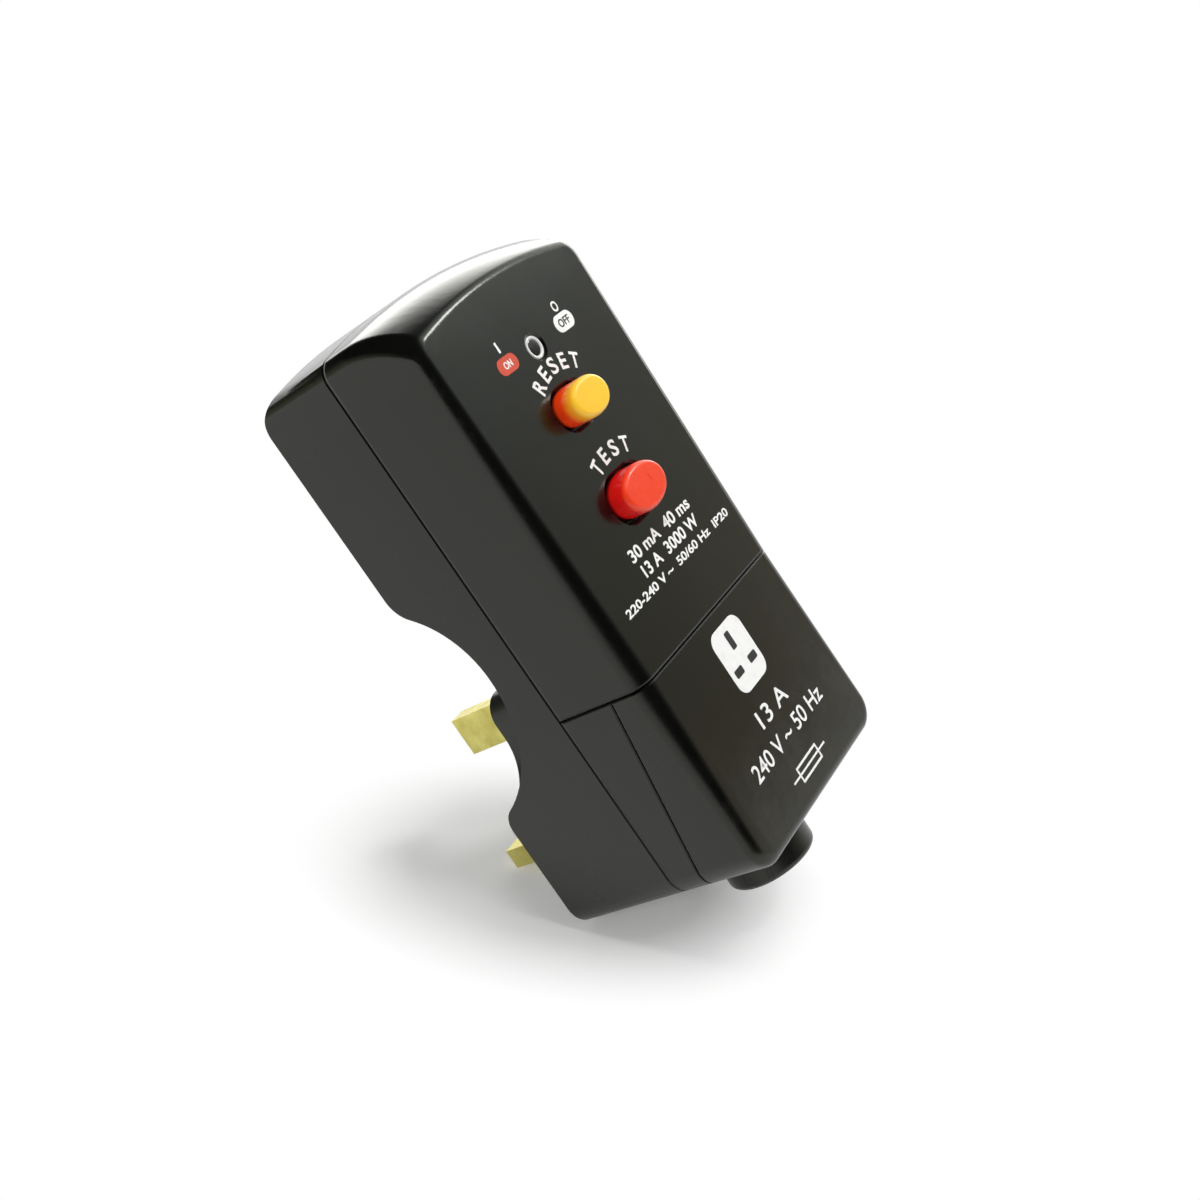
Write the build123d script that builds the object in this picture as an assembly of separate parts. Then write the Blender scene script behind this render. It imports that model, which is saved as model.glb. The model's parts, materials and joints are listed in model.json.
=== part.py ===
from build123d import *
import math
import os

# A fused 13 A plug with a residual-current trip, for wiring to a cord.
# X is to the right as seen from the front, Y points from the front towards the wall, Z is up.
# The origin is on the mating face, midway between the two lower pins. Lengths are in millimetres.
MM = 1.0

# Driving sizes of the housing
HALF_WIDTH = 25.2 * MM
FRONT_DEPTH = 44.6 * MM
PARTING_DEPTH = 25.0 * MM
SET_BACK = 7.0 * MM
CROWN_Z = 97.8 * MM
BOTTOM_Z = -12.9 * MM
SEAM_Z = 25.3 * MM
WALL = 2.3 * MM
FRONT_WALL = 2.4 * MM
MATING_WALL = 3.0 * MM
SEAM_GAP = 0.3 * MM
PARTING_GAP = 0.2 * MM
POST_ROOT = 0.6 * MM
OVERRUN = 6.0 * MM
MATCH = 0.3 * MM

# Corners and the rolled top end
BOTTOM_CORNER_R = 5.0 * MM
TOP_CORNER_R = 3.6 * MM
FRONT_ROLL_R = 2.0 * MM
INNER_CORNER_R = 1.2 * MM
BOW_R = 114.0 * MM
CREASE_DROP = 5.3 * MM
ROLL_DEPTH = 15.0 * MM
REAR_CORNER_R = 5.0 * MM

# Finger scoops in the flanks
SCOOP_Z = 37.0 * MM
SCOOP_DEPTH = 17.0 * MM
SCOOP_UPPER_R = 19.0 * MM
SCOOP_LOWER_R = 26.0 * MM
SCOOP_LIP_R = 6.0 * MM
SCOOP_HEEL_R = 4.5 * MM

# Raised mating pad with the plug's outline
PAD_HALF = 13.8 * MM
PAD_TOP_Z = 30.2 * MM
PAD_TOP_R = 4.6 * MM
FLARE_Z = 22.8 * MM
FLARE_R = 10.8 * MM
FLARE_TURN = 58.8
PAD_STEP_Z = 17.5 * MM

# Skirt line between the terminal cover and the chassis
SKIRT_TOP_DEPTH = 36.8 * MM
SKIRT_BOTTOM_DEPTH = 30.7 * MM

# Pins, to the standard pattern of a 13 A plug
PIN_SPACING = 22.22 * MM
EARTH_Z = 22.23 * MM
PIN_WIDE = 6.35 * MM
PIN_THICK = 3.97 * MM
PIN_LENGTH = 17.7 * MM
EARTH_WIDE = 3.97 * MM
EARTH_TALL = 7.93 * MM
EARTH_LENGTH = 22.73 * MM
PIN_TIP_CHAMFER = 0.8 * MM
PIN_SLOT_GAP = 0.05 * MM
SLEEVE_LENGTH = 9.5 * MM
SLEEVE_T = 0.45 * MM
SLEEVE_INSET = 1.5 * MM
PIN_HEAD_DEPTH = 6.0 * MM
PIN_HEAD_WIDE = 7.0 * MM
PIN_HEAD_TALL = 6.6 * MM
EARTH_HEAD_WIDE = 7.0 * MM
EARTH_HEAD_TALL = 9.6 * MM

# Fuse and its carrier
FUSE_Z = 10.1 * MM
FUSE_LENGTH = 25.4 * MM
FUSE_R = 3.175 * MM
FUSE_CAP_LENGTH = 5.6 * MM
FUSE_CAP_T = 0.5 * MM
FUSE_CAP_EDGE_R = 0.4 * MM
FUSE_BODY_R = 2.95 * MM
FUSE_BORE_R = 1.9 * MM
FUSE_DEPTH = 5.6 * MM
BAY_HALF = 16.0 * MM
BAY_TALL = 8.6 * MM
BAY_DEPTH = 10.4 * MM
BAY_WALL = 1.4 * MM
CARRIER_GAP = 0.2 * MM
CARRIER_SINK = 0.2 * MM
CARRIER_FACE_T = 1.5 * MM
CARRIER_CORNER_R = 1.2 * MM
CARRIER_END_HALF = 2.4 * MM
CRADLE_HALF = 5.4 * MM
CRADLE_DEPTH = 8.6 * MM
CRADLE_TALL = 3.8 * MM
CRADLE_GAP = 0.1 * MM
CARRIER_END_T = 1.3 * MM
CARRIER_NOTCH_R = 2.4 * MM
CLIP_X = 9.9 * MM
CLIP_T = 0.5 * MM
CLIP_GAP = 0.15 * MM
CLIP_WIDE = 3.8 * MM
CLIP_MOUTH = 2.6 * MM
TAIL_WIDE = 2.8 * MM
TAIL_TALL = 2.4 * MM
TAIL_GAP = 0.1 * MM

# Deck of the chassis
DECK_T = 2.0 * MM
DECK_GAP = 0.2 * MM
DECK_TOP_Z = 91.0 * MM
CORD_NOTCH_GAP = 0.2 * MM
CORD_NOTCH_Z = 3.0 * MM

# Screws
HEAD_R = 2.7 * MM
HEAD_T = 1.9 * MM
HEAD_EDGE_R = 0.4 * MM
SHANK_R = 1.4 * MM
SHANK_GAP = 0.1 * MM
HEAD_GAP = 0.3 * MM
RECESS_DEPTH = 3.4 * MM
POST_R = 3.4 * MM
BASE_POST_R = 4.5 * MM
COVER_POST_R = 3.8 * MM
SLOT_T = 0.8 * MM
SLOT_DEPTH = 0.9 * MM
CASE_SCREW_INSET = 5.7 * MM
CASE_SCREW_Z = 85.6 * MM
SPINE_SCREW_Z = 36.5 * MM
COVER_SCREW_INSET = 3.9 * MM
COVER_SCREW_Z = -6.3 * MM
CHASSIS_SCREW_TOP_Z = 87.0 * MM
CHASSIS_SCREW_LOW_Z = 52.0 * MM
CHASSIS_POST_R = 3.2 * MM
CHASSIS_POST_TALL = 7.0 * MM
CASE_SCREW_LENGTH = 24.0 * MM
COVER_SCREW_LENGTH = 32.0 * MM
CHASSIS_SCREW_LENGTH = 12.0 * MM
POST_END_GAP = 0.1 * MM

# Cord outlet and clamp
GLAND_R = 8.9 * MM
GLAND_LENGTH = 10.3 * MM
GLAND_EDGE_R = 1.3 * MM
GLAND_NECK_R = 5.2 * MM
GLAND_FLANGE_R = 7.2 * MM
GLAND_FLANGE_T = 1.6 * MM
GLAND_GAP = 0.05 * MM
GLAND_SEAT_GAP = 0.15 * MM
CORD_HOLE_R = 3.9 * MM
CLAMP_SIDE_GAP = 2.0 * MM
CLAMP_TALL = 6.0 * MM
CLAMP_T = 2.4 * MM
CLAMP_Z = -4.8 * MM
CLAMP_POST_R = 2.4 * MM
CLAMP_POST_TALL = 2.4 * MM
CLAMP_GRIP_R = 5.0 * MM
CLAMP_GRIP_CUT = 0.6 * MM
CLAMP_SCREW_LENGTH = 6.0 * MM
RIDGE_HALF = 7.0 * MM
RIDGE_T = 1.2 * MM
RIDGE_GAP = 0.4 * MM

# Terminals for the cord, and the straps
TERMINAL_X = 14.6 * MM
TERMINAL_Z = 12.6 * MM
EARTH_TERMINAL_Z = 17.4 * MM
TERMINAL_WIDE = 6.6 * MM
TERMINAL_TALL = 7.6 * MM
TERMINAL_DEEP = 8.6 * MM
TERMINAL_EDGE_R = 0.5 * MM
TERMINAL_END_T = 1.2 * MM
WIRE_HOLE_R = 1.7 * MM
WIRE_HOLE_LIFT = 3.0 * MM
TERMINAL_SCREW_R = 1.8 * MM
TERMINAL_SCREW_LENGTH = 4.4 * MM
TERMINAL_SCREW_PROUD = 1.4 * MM
STRAP_T = 0.8 * MM
STRAP_BEND_R = 1.0 * MM
STRAP_WIDE = 2.8 * MM
STRAP_X = 6.4 * MM
STRAP_SLOT_GAP = 0.25 * MM
NEUTRAL_STRAP_DEPTH = 13.4 * MM
LINE_STRAP_DEPTH = 15.6 * MM
STRAP_TURN_Z = 55.0 * MM
EARTH_STRAP_Z = 19.0 * MM
EARTH_STRAP_FOOT = 4.6 * MM
LINK_TOP_Z = 29.7 * MM
OUTGOING_Z = 78.6 * MM
LEG_OVER = 0.6 * MM

# Buttons
RESET_Z = 67.3 * MM
RESET_WIDE = 10.6 * MM
RESET_TALL = 6.9 * MM
RESET_PROUD = 4.4 * MM
TEST_Z = 49.9 * MM
TEST_WIDE = 13.0 * MM
TEST_TALL = 8.1 * MM
TEST_PROUD = 3.6 * MM
BUTTON_GAP = 0.25 * MM
BUTTON_EDGE_R = 0.9 * MM
BUTTON_FLANGE = 0.9 * MM
BUTTON_FLANGE_T = 1.5 * MM
BUTTON_STOP_GAP = 0.1 * MM
STEM_R = 1.5 * MM
STEM_NOSE_R = 0.6 * MM
STEM_NOSE_LENGTH = 1.6 * MM
RESET_STEM_DEPTH = 13.0 * MM
WELL_BEVEL = 0.5 * MM
WELL_WALL = 0.8 * MM
WELL_DEPTH = 2.6 * MM

# Indicator window
WINDOW_Z = 78.7 * MM
WINDOW_R = 2.2 * MM
WINDOW_RECESS = 0.9 * MM
WINDOW_LIP = 0.8 * MM
WINDOW_LIP_T = 0.5 * MM
WINDOW_BEVEL = 0.35 * MM
WINDOW_GAP = 0.05 * MM

# Circuit board
BOARD_T = 1.6 * MM
BOARD_STANDOFF = 2.0 * MM
BOARD_SIDE_GAP = 0.7 * MM
BOARD_LOW_Z = 28.2 * MM
BOARD_TOP_Z = 91.0 * MM
STANDOFF_R = 2.0 * MM
STANDOFF_LOW_X = 5.4 * MM
STANDOFF_LOW_Z = 31.4 * MM
STANDOFF_HIGH_X = 6.5 * MM
STANDOFF_HIGH_Z = 86.5 * MM
PEG_R = 0.9 * MM
PEG_OVER = 0.8 * MM
BOARD_CORNER_R = 2.0 * MM
HOLE_GAP = 0.5 * MM

# Trip mechanism behind the deck
CARRIAGE_HALF = 10.4 * MM
CARRIAGE_TALL = 15.4 * MM
CARRIAGE_LOW = 6.9 * MM
CARRIAGE_CORNER_R = 1.0 * MM
CARRIAGE_T = 4.5 * MM
CARRIAGE_DEPTH = 15.0 * MM
CARRIAGE_BORE_GAP = 0.3 * MM
CARRIAGE_STOP_R = 1.8 * MM
CARRIAGE_STOP_X = 5.8 * MM
CARRIAGE_STOP_GAP = 0.1 * MM
GUIDE_RIB_T = 1.6 * MM
GUIDE_RIB_GAP = 0.25 * MM
GUIDE_RIB_TALL = 9.0 * MM
GUIDE_RIB_DEPTH = 23.6 * MM
CONTACT_X = 5.8 * MM
CONTACT_SPREAD = 4.0 * MM
CONTACT_R = 1.3 * MM
RIVET_T = 0.8 * MM
FIXED_RIVET_T = 0.6 * MM
BRIDGE_T = 0.7 * MM
BRIDGE_WIDE = 2.8 * MM
BRIDGE_END = 1.6 * MM
PUSHER_R = 0.9 * MM
PUSHER_DROP = 4.7 * MM
PUSHER_NOSE_R = 0.6 * MM
HOOK_X = -9.2 * MM
HOOK_Z = 62.4 * MM
HOOK_R = 0.8 * MM
HOOK_DEPTH = 37.2 * MM
HOOK_GROOVE = 1.2 * MM

# Indicator flag
FLAG_DEPTH = 33.2 * MM
FLAG_R = 8.1 * MM
FLAG_T = 0.9 * MM
FLAG_HALF_WIDE = 2.4 * MM
FLAG_HUB_R = 1.5 * MM
FLAG_PIN_R = 0.8 * MM
FLAG_PIN_GAP = 0.05 * MM
FLAG_TURN = 32.0
FLAG_REST_GAP = 0.3 * MM
FLAG_ARM_T = 1.4 * MM
FLAG_SPOKE_T = 1.2 * MM
BRACKET_T = 1.2 * MM
BRACKET_GAP = 0.2 * MM
BRACKET_HALF_TALL = 2.6 * MM
BRACKET_OVER = 2.0 * MM
BRACKET_BASE_T = 0.8 * MM

# Trip coil, plunger and latch lever
COIL_X = -13.2 * MM
COIL_LOW_Z = 32.0 * MM
COIL_LENGTH = 15.0 * MM
COIL_R = 4.0 * MM
WINDING_SINK = 0.3 * MM
POLE_TOP_Z = 34.3 * MM
BOBBIN_R = 2.6 * MM
BOBBIN_CHEEK = 0.8 * MM
YOKE_T = 1.2 * MM
YOKE_HALF = 5.4 * MM
YOKE_HALF_WIDE = 4.2 * MM
YOKE_FRONT_HALF = 4.6 * MM
PLUNGER_R = 1.7 * MM
PLUNGER_GAP = 0.1 * MM
PLUNGER_LOW_Z = 35.6 * MM
PLUNGER_COLLAR_R = 2.9 * MM
PLUNGER_COLLAR_T = 1.0 * MM
PLUNGER_NECK_R = 1.0 * MM
PLUNGER_NECK_Z = 51.9 * MM
PLUNGER_NECK_TALL = 1.9 * MM
PLUNGER_HEAD_T = 1.2 * MM
PLUNGER_HEAD_R = 2.2 * MM
LEVER_X = -5.2 * MM
LEVER_T = 1.2 * MM
LEVER_DEEP = 2.0 * MM
LEVER_HUB_R = 1.7 * MM
LEVER_PIN_R = 0.8 * MM
LEVER_PIN_GAP = 0.05 * MM
LEVER_PIN_OVER = 0.6 * MM
LEVER_SEAT_GAP = 0.2 * MM
FORK_T = 1.0 * MM
FORK_GAP = 0.3 * MM
FORK_PRONG = 0.9 * MM
FORK_REACH = 1.8 * MM
LEVER_TIP_GAP = 0.3 * MM
LEVER_ELBOW = 2.4 * MM

# Test contact leaf
LEAF_LOW_Z = 42.3 * MM
LEAF_TOP_Z = 52.4 * MM
LEAF_HALF = 1.9 * MM
LEAF_T = 0.4 * MM
LEAF_GAP = 0.35 * MM
LEAF_PIN_R = 0.6 * MM
LEAF_PIN_GAP = 0.05 * MM
LEAF_HUB_R = 1.1 * MM
LEAF_DEPTH = 33.9 * MM
LEAF_BRACKET_T = 1.0 * MM
LEAF_BRACKET_HALF_TALL = 1.4 * MM
TEST_PAD_T = 0.3 * MM
TEST_PAD_R = 1.2 * MM
TEST_PAD_Z = 51.2 * MM

# Springs
RESET_SPRING_R = 2.4 * MM
CARRIAGE_SPRING_R = 2.5 * MM
PLUNGER_SPRING_R = 2.3 * MM
SPRING_WIRE_R = 0.22 * MM
SPRING_END_GAP = 0.02 * MM
FORWARD_TURN = 90.0
RESET_SPRING_TURNS = 7
CARRIAGE_SPRING_TURNS = 5
PLUNGER_SPRING_TURNS = 3

# Board parts
CORE_INNER_X = 3.1 * MM
CORE_SIDE_GAP = 2.8 * MM
CORE_Z = 40.4 * MM
CORE_HOLE_R = 3.8 * MM
CORE_T = 5.6 * MM
CORE_EDGE_R = 0.5 * MM
WINDING_T = 0.9 * MM
WINDING_SPAN = 78.0
CAP_INNER_X = 8.9 * MM
CAP_SIDE_GAP = 3.0 * MM
CAP_Z = 56.6 * MM
CAP_TALL = 5.0 * MM
CAP_DEEP = 8.6 * MM
CAP_STEP = 6.2 * MM
CAP_COUNT = 2
CAP_EDGE_R = 0.5 * MM
DISC_X = 13.6 * MM
DISC_Z = 69.4 * MM
DISC_R = 4.8 * MM
DISC_T = 3.2 * MM
DISC_LIFT = 1.0 * MM
DISC_EDGE_R = 1.0 * MM
CHIP_X = 13.6 * MM
CHIP_Z = 78.0 * MM
CHIP_WIDE = 9.4 * MM
CHIP_TALL = 6.4 * MM
CHIP_DEEP = 3.3 * MM
CHIP_LIFT = 0.5 * MM
LEG_PITCH = 2.54 * MM
LEG_COUNT = 4
LEG_T = 0.5 * MM
LEG_REACH = 0.9 * MM
RESISTOR_SIDE_GAP = 4.0 * MM
RESISTOR_Z = 69.9 * MM
RESISTOR_STEP = 2.9 * MM
RESISTOR_COUNT = 3
RESISTOR_R = 1.15 * MM
RESISTOR_EDGE_R = 0.38 * MM
RESISTOR_LENGTH = 6.2 * MM
LEAD_R = 0.3 * MM
LEAD_SPAN = 4.6 * MM
RESISTOR_LIFT = 1.5 * MM
SWITCH_SIDE_GAP = 3.3 * MM
SWITCH_Z = 64.6 * MM
SWITCH_R = 2.4 * MM
SWITCH_DEEP = 4.8 * MM
SWITCH_FLAT = 1.2 * MM

# Levels along Y, all negative towards the front
FRONT_Y = -FRONT_DEPTH
PARTING_Y = -PARTING_DEPTH
SET_BACK_Y = -SET_BACK
COVER_INNER_Y = FRONT_Y + FRONT_WALL
FLOOR_Y = -MATING_WALL
REAR_INNER_Y = SET_BACK_Y - WALL
SCOOP_INNER_Y = -SCOOP_DEPTH - WALL
DECK_FRONT_Y = PARTING_Y - DECK_T
BOARD_REAR_Y = DECK_FRONT_Y - BOARD_STANDOFF
BOARD_FRONT_Y = BOARD_REAR_Y - BOARD_T
CARRIAGE_REAR_Y = -CARRIAGE_DEPTH
CARRIAGE_FRONT_Y = CARRIAGE_REAR_Y - CARRIAGE_T
HALF_SPACING = PIN_SPACING / 2
SPINE_ROOM_HALF = PAD_HALF - WALL
ROOM_HALF = HALF_WIDTH - WALL
FLOOR_Z = BOTTOM_Z + WALL
BOARD_HALF = ROOM_HALF - BOARD_SIDE_GAP
CASE_SCREW_X = ROOM_HALF - CASE_SCREW_INSET
COVER_SCREW_X = ROOM_HALF - COVER_SCREW_INSET
CLAMP_HALF = COVER_SCREW_X - COVER_POST_R - CLAMP_SIDE_GAP
CLAMP_SCREW_X = CLAMP_HALF - CLAMP_TALL / 2
CORD_NOTCH_HALF = CLAMP_SCREW_X - CLAMP_POST_R - CORD_NOTCH_GAP
CORE_R = (ROOM_HALF - CORE_SIDE_GAP - CORE_INNER_X) / 2 - WINDING_T
CORE_X = CORE_INNER_X + CORE_R + WINDING_T
CAP_WIDE = ROOM_HALF - CAP_SIDE_GAP - CAP_INNER_X
RESISTOR_X = RESISTOR_SIDE_GAP + LEAD_SPAN + LEAD_R - ROOM_HALF
SWITCH_X = SWITCH_SIDE_GAP + SWITCH_R - ROOM_HALF
TALL_Z = CROWN_Z + OVERRUN
SCOOP_TOP_Z = SCOOP_Z + SCOOP_UPPER_R + SCOOP_LIP_R
PAD_ROOM_TOP_Z = PAD_TOP_Z - WALL
HEEL_ROOM_TOP_Z = SCOOP_Z - math.sqrt(SCOOP_LOWER_R**2 - (SCOOP_LOWER_R - SCOOP_DEPTH) ** 2) - 2 * WALL
UPPER_LOW_Z = SEAM_Z + SEAM_GAP / 2
LOWER_TOP_Z = SEAM_Z - SEAM_GAP / 2
CORE_REAR_Y = BOARD_FRONT_Y - WINDING_T
COIL_Y = BOARD_FRONT_Y - YOKE_HALF
COIL_TOP_Z = COIL_LOW_Z + COIL_LENGTH
LEVER_Z = PLUNGER_NECK_Z + PLUNGER_NECK_TALL / 2
FLAG_Y = -FLAG_DEPTH
FUSE_Y = -FUSE_DEPTH
UPPER_ROOM_Z = SCOOP_Z + SCOOP_UPPER_R + SCOOP_LIP_R / 2
HEEL_STEP_Z = SCOOP_Z - SCOOP_UPPER_R
HEEL_STEP_Y = SCOOP_LOWER_R - SCOOP_DEPTH - math.sqrt(SCOOP_LOWER_R**2 - SCOOP_UPPER_R**2) - WALL
BAY_FRONT_Y = -BAY_DEPTH - BAY_WALL
CASE_SCREW_END_Y = SET_BACK_Y - RECESS_DEPTH - CASE_SCREW_LENGTH - HEAD_GAP
COVER_SCREW_END_Y = -RECESS_DEPTH - COVER_SCREW_LENGTH - HEAD_GAP
CHASSIS_SCREW_END_Y = SET_BACK_Y - RECESS_DEPTH - CHASSIS_SCREW_LENGTH - HEAD_GAP
CHASSIS_SEAT_Y = PARTING_Y + CHASSIS_POST_TALL
CLAMP_REAR_Y = DECK_FRONT_Y - CLAMP_POST_TALL
WIRE_HOLE_Y = DECK_FRONT_Y - WIRE_HOLE_LIFT
LINK_X = TERMINAL_X - TERMINAL_WIDE / 2 - STRAP_WIDE / 2
FLANGE_REAR_Y = COVER_INNER_Y + BUTTON_STOP_GAP + BUTTON_FLANGE_T
LEAF_Y = -LEAF_DEPTH
PUSHER_Z = WINDOW_Z - PUSHER_DROP
BRIDGE_FRONT_Y = CARRIAGE_FRONT_Y - BRIDGE_T


def block(x0, x1, y0, y1, z0, z1):
    """A box between three pairs of limits."""
    size = (abs(x1 - x0), abs(y1 - y0), abs(z1 - z0))
    return Pos((x0 + x1) / 2, (y0 + y1) / 2, (z0 + z1) / 2) * Box(*size)


def slab(sketch, rear, front):
    """A sketch drawn as seen from the front, given depth along Y."""
    return extrude(Plane.XZ.offset(-rear) * sketch, amount=rear - front)


def strip(sketch, left, right):
    """A sketch drawn in Y and Z, given width along X."""
    return extrude(Plane.YZ.offset(left) * sketch, amount=right - left)


def column(sketch, low, high):
    """A sketch drawn in X and Y, given height along Z."""
    return extrude(Plane.XY.offset(low) * sketch, amount=high - low)


def round_y(x, z, radius, rear, front):
    """A round bar along Y."""
    return slab(Pos(x, z) * Circle(radius), rear, front)


def round_z(x, y, radius, low, high):
    """A round bar along Z."""
    return column(Pos(x, y) * Circle(radius), low, high)


def round_x(y, z, radius, left, right):
    """A round bar along X."""
    return strip(Pos(y, z) * Circle(radius), left, right)


def both_sides(solid):
    """A solid and its mirror image across the middle plane."""
    return solid + mirror(solid, about=Plane.YZ)


def joined(pieces):
    """All pieces as one shape."""
    whole = pieces[0]
    for piece in pieces[1:]:
        whole += piece
    return whole


def outline(inset):
    """The flanks and the bottom end, open towards the top."""
    low = BOTTOM_Z + inset
    corner = max(BOTTOM_CORNER_R - inset, INNER_CORNER_R)
    face = Pos(0, (low + TALL_Z) / 2) * Rectangle(2 * (HALF_WIDTH - inset), TALL_Z - low)
    return fillet(face.vertices().group_by(Axis.Y)[0], corner)


def bowed_end(inset, front_inset):
    """A disc about the end's bow axis whose rim is the rolled top end, open to the rear."""
    axis_z = CROWN_Z - BOW_R
    crown = CROWN_Z - inset
    front = FRONT_Y + front_inset
    crease = crown - CREASE_DROP
    roll_r = (ROLL_DEPTH**2 + CREASE_DROP**2) / (2 * CREASE_DROP)
    rim = [
        Line((front, axis_z), (front, crease)),
        RadiusArc((front, crease), (front + ROLL_DEPTH, crown), roll_r),
        Line((front + ROLL_DEPTH, crown), (OVERRUN, crown)),
        Line((OVERRUN, crown), (OVERRUN, axis_z)),
        Line((OVERRUN, axis_z), (front, axis_z)),
    ]
    face = Plane.YZ * make_face(Curve() + rim)
    return revolve(face, Axis((0, 0, axis_z), (0, 1, 0)))


def rear_trim():
    """What lies behind the set-back face and its rounded top corner."""
    axis_z = CROWN_Z - BOW_R
    corner_y = SET_BACK_Y - REAR_CORNER_R
    corner_z = CROWN_Z - REAR_CORNER_R
    far_z = CROWN_Z + OVERRUN
    rim = [
        Line((SET_BACK_Y, axis_z), (SET_BACK_Y, corner_z)),
        RadiusArc((SET_BACK_Y, corner_z), (corner_y, CROWN_Z), -REAR_CORNER_R),
        Line((corner_y, CROWN_Z), (corner_y, far_z)),
        Line((corner_y, far_z), (2 * OVERRUN, far_z)),
        Line((2 * OVERRUN, far_z), (2 * OVERRUN, axis_z)),
        Line((2 * OVERRUN, axis_z), (SET_BACK_Y, axis_z)),
    ]
    face = Plane.YZ * make_face(Curve() + rim)
    return revolve(face, Axis((0, 0, axis_z), (0, 1, 0)))


def envelope():
    """The whole outside forward of the set-back rear face."""
    body = slab(outline(0), OVERRUN, FRONT_Y) & bowed_end(0, 0)
    top = [
        edge
        for edge in body.edges()
        if abs(abs(edge.center().X) - HALF_WIDTH) < MATCH
        and edge.center().Z > SCOOP_TOP_Z
        and edge.bounding_box().size.Z < REAR_CORNER_R + TOP_CORNER_R
    ]
    body = fillet(top, TOP_CORNER_R)
    rim = [edge for edge in body.edges() if edge.bounding_box().max.Y < FRONT_Y + MATCH]
    return fillet(rim, FRONT_ROLL_R) - rear_trim()


def pad_outline():
    """The mating pad seen from the front: a narrow head that flares into the full width."""
    turn = math.radians(FLARE_TURN)
    centre_x = PAD_HALF + FLARE_R
    end_x = centre_x - FLARE_R * math.cos(turn)
    end_z = FLARE_Z - FLARE_R * math.sin(turn)
    slope = math.cos(turn) / math.sin(turn)
    flank_z = end_z - (HALF_WIDTH - end_x) * slope
    mid = math.radians(FLARE_TURN / 2)
    mid_point = (centre_x - FLARE_R * math.cos(mid), FLARE_Z - FLARE_R * math.sin(mid))
    edge = [
        Line((0, PAD_TOP_Z), (PAD_HALF, PAD_TOP_Z)),
        Line((PAD_HALF, PAD_TOP_Z), (PAD_HALF, FLARE_Z)),
        ThreePointArc((PAD_HALF, FLARE_Z), mid_point, (end_x, end_z)),
        Line((end_x, end_z), (HALF_WIDTH, flank_z)),
        Line((HALF_WIDTH, flank_z), (HALF_WIDTH, BOTTOM_Z)),
        Line((HALF_WIDTH, BOTTOM_Z), (0, BOTTOM_Z)),
        Line((0, BOTTOM_Z), (0, PAD_TOP_Z)),
    ]
    half = make_face(Curve() + edge)
    whole = half + mirror(half, about=Plane.YZ)
    top = whole.vertices().group_by(Axis.Y)[-1]
    return fillet([v for v in top if abs(v.X) > PAD_HALF / 2], PAD_TOP_R) & outline(0)


def scoop_face():
    """The space behind the finger arch, drawn in Y and Z."""
    over = OVERRUN
    upper_y = SCOOP_UPPER_R - SCOOP_DEPTH
    lower_y = SCOOP_LOWER_R - SCOOP_DEPTH
    rise = math.sqrt(SCOOP_UPPER_R**2 - (SET_BACK + upper_y) ** 2)
    fall = math.sqrt(SCOOP_LOWER_R**2 - lower_y**2)
    low = (0, SCOOP_Z - fall)
    high = (SET_BACK_Y, SCOOP_Z + rise)
    deep = (-SCOOP_DEPTH, SCOOP_Z)
    half_low = math.asin(fall / SCOOP_LOWER_R) / 2
    half_high = math.asin(rise / SCOOP_UPPER_R) / 2
    low_mid = (lower_y - SCOOP_LOWER_R * math.cos(half_low), SCOOP_Z - SCOOP_LOWER_R * math.sin(half_low))
    high_mid_z = SCOOP_Z + SCOOP_UPPER_R * math.sin(half_high)
    high_mid = (upper_y - SCOOP_UPPER_R * math.cos(half_high), high_mid_z)
    edge = [
        Line((over, low[1] - over), (0, low[1] - over)),
        Line((0, low[1] - over), low),
        ThreePointArc(low, low_mid, deep),
        ThreePointArc(deep, high_mid, high),
        Line(high, (SET_BACK_Y, high[1] + over)),
        Line((SET_BACK_Y, high[1] + over), (over, high[1] + over)),
        Line((over, high[1] + over), (over, low[1] - over)),
    ]
    face = make_face(Curve() + edge)
    heel = [v for v in face.vertices() if abs(v.X - low[0]) + abs(v.Y - low[1]) < MATCH]
    face = fillet(heel, SCOOP_HEEL_R)
    lip = [v for v in face.vertices() if abs(v.X - high[0]) + abs(v.Y - high[1]) < MATCH]
    return fillet(lip, SCOOP_LIP_R)


def spine_outline():
    """The spine between the scoops, with the pad that stands on it."""
    spine_top = SCOOP_TOP_Z + OVERRUN
    spine = Pos(0, (SCOOP_Z + spine_top) / 2) * Rectangle(2 * PAD_HALF, spine_top - SCOOP_Z)
    neck = Pos(0, (FLARE_Z + SCOOP_Z) / 2) * Rectangle(2 * PAD_HALF, SCOOP_Z - FLARE_Z)
    return spine + neck + pad_outline()


def housing_form():
    """The closed outside of the whole housing."""
    half = HALF_WIDTH + OVERRUN
    low_limit = block(-half, half, -SCOOP_DEPTH, OVERRUN, BOTTOM_Z - OVERRUN, PAD_STEP_Z)
    low_block = slab(outline(0), 0, -SCOOP_DEPTH) & low_limit
    pad = slab(pad_outline(), 0, -SCOOP_DEPTH)
    cutter = strip(scoop_face(), -half, half) - slab(spine_outline(), 2 * OVERRUN, FRONT_Y)
    return envelope() + low_block + pad - cutter


FORM = housing_form()


def room(half, low, high, rear, front):
    """A rectangular hollow, centred on the middle plane."""
    return block(-half, half, rear, front, low, high)


def stadium(wide, tall, x, z, grow):
    """A stadium seen from the front, grown all round."""
    return Pos(x, z) * SlotOverall(wide + 2 * grow, tall + 2 * grow)


def ring_y(x, z, outer, inner, rear, front):
    """A tube along Y."""
    return round_y(x, z, outer, rear, front) - round_y(x, z, inner, rear + OVERRUN, front - OVERRUN)


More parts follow.
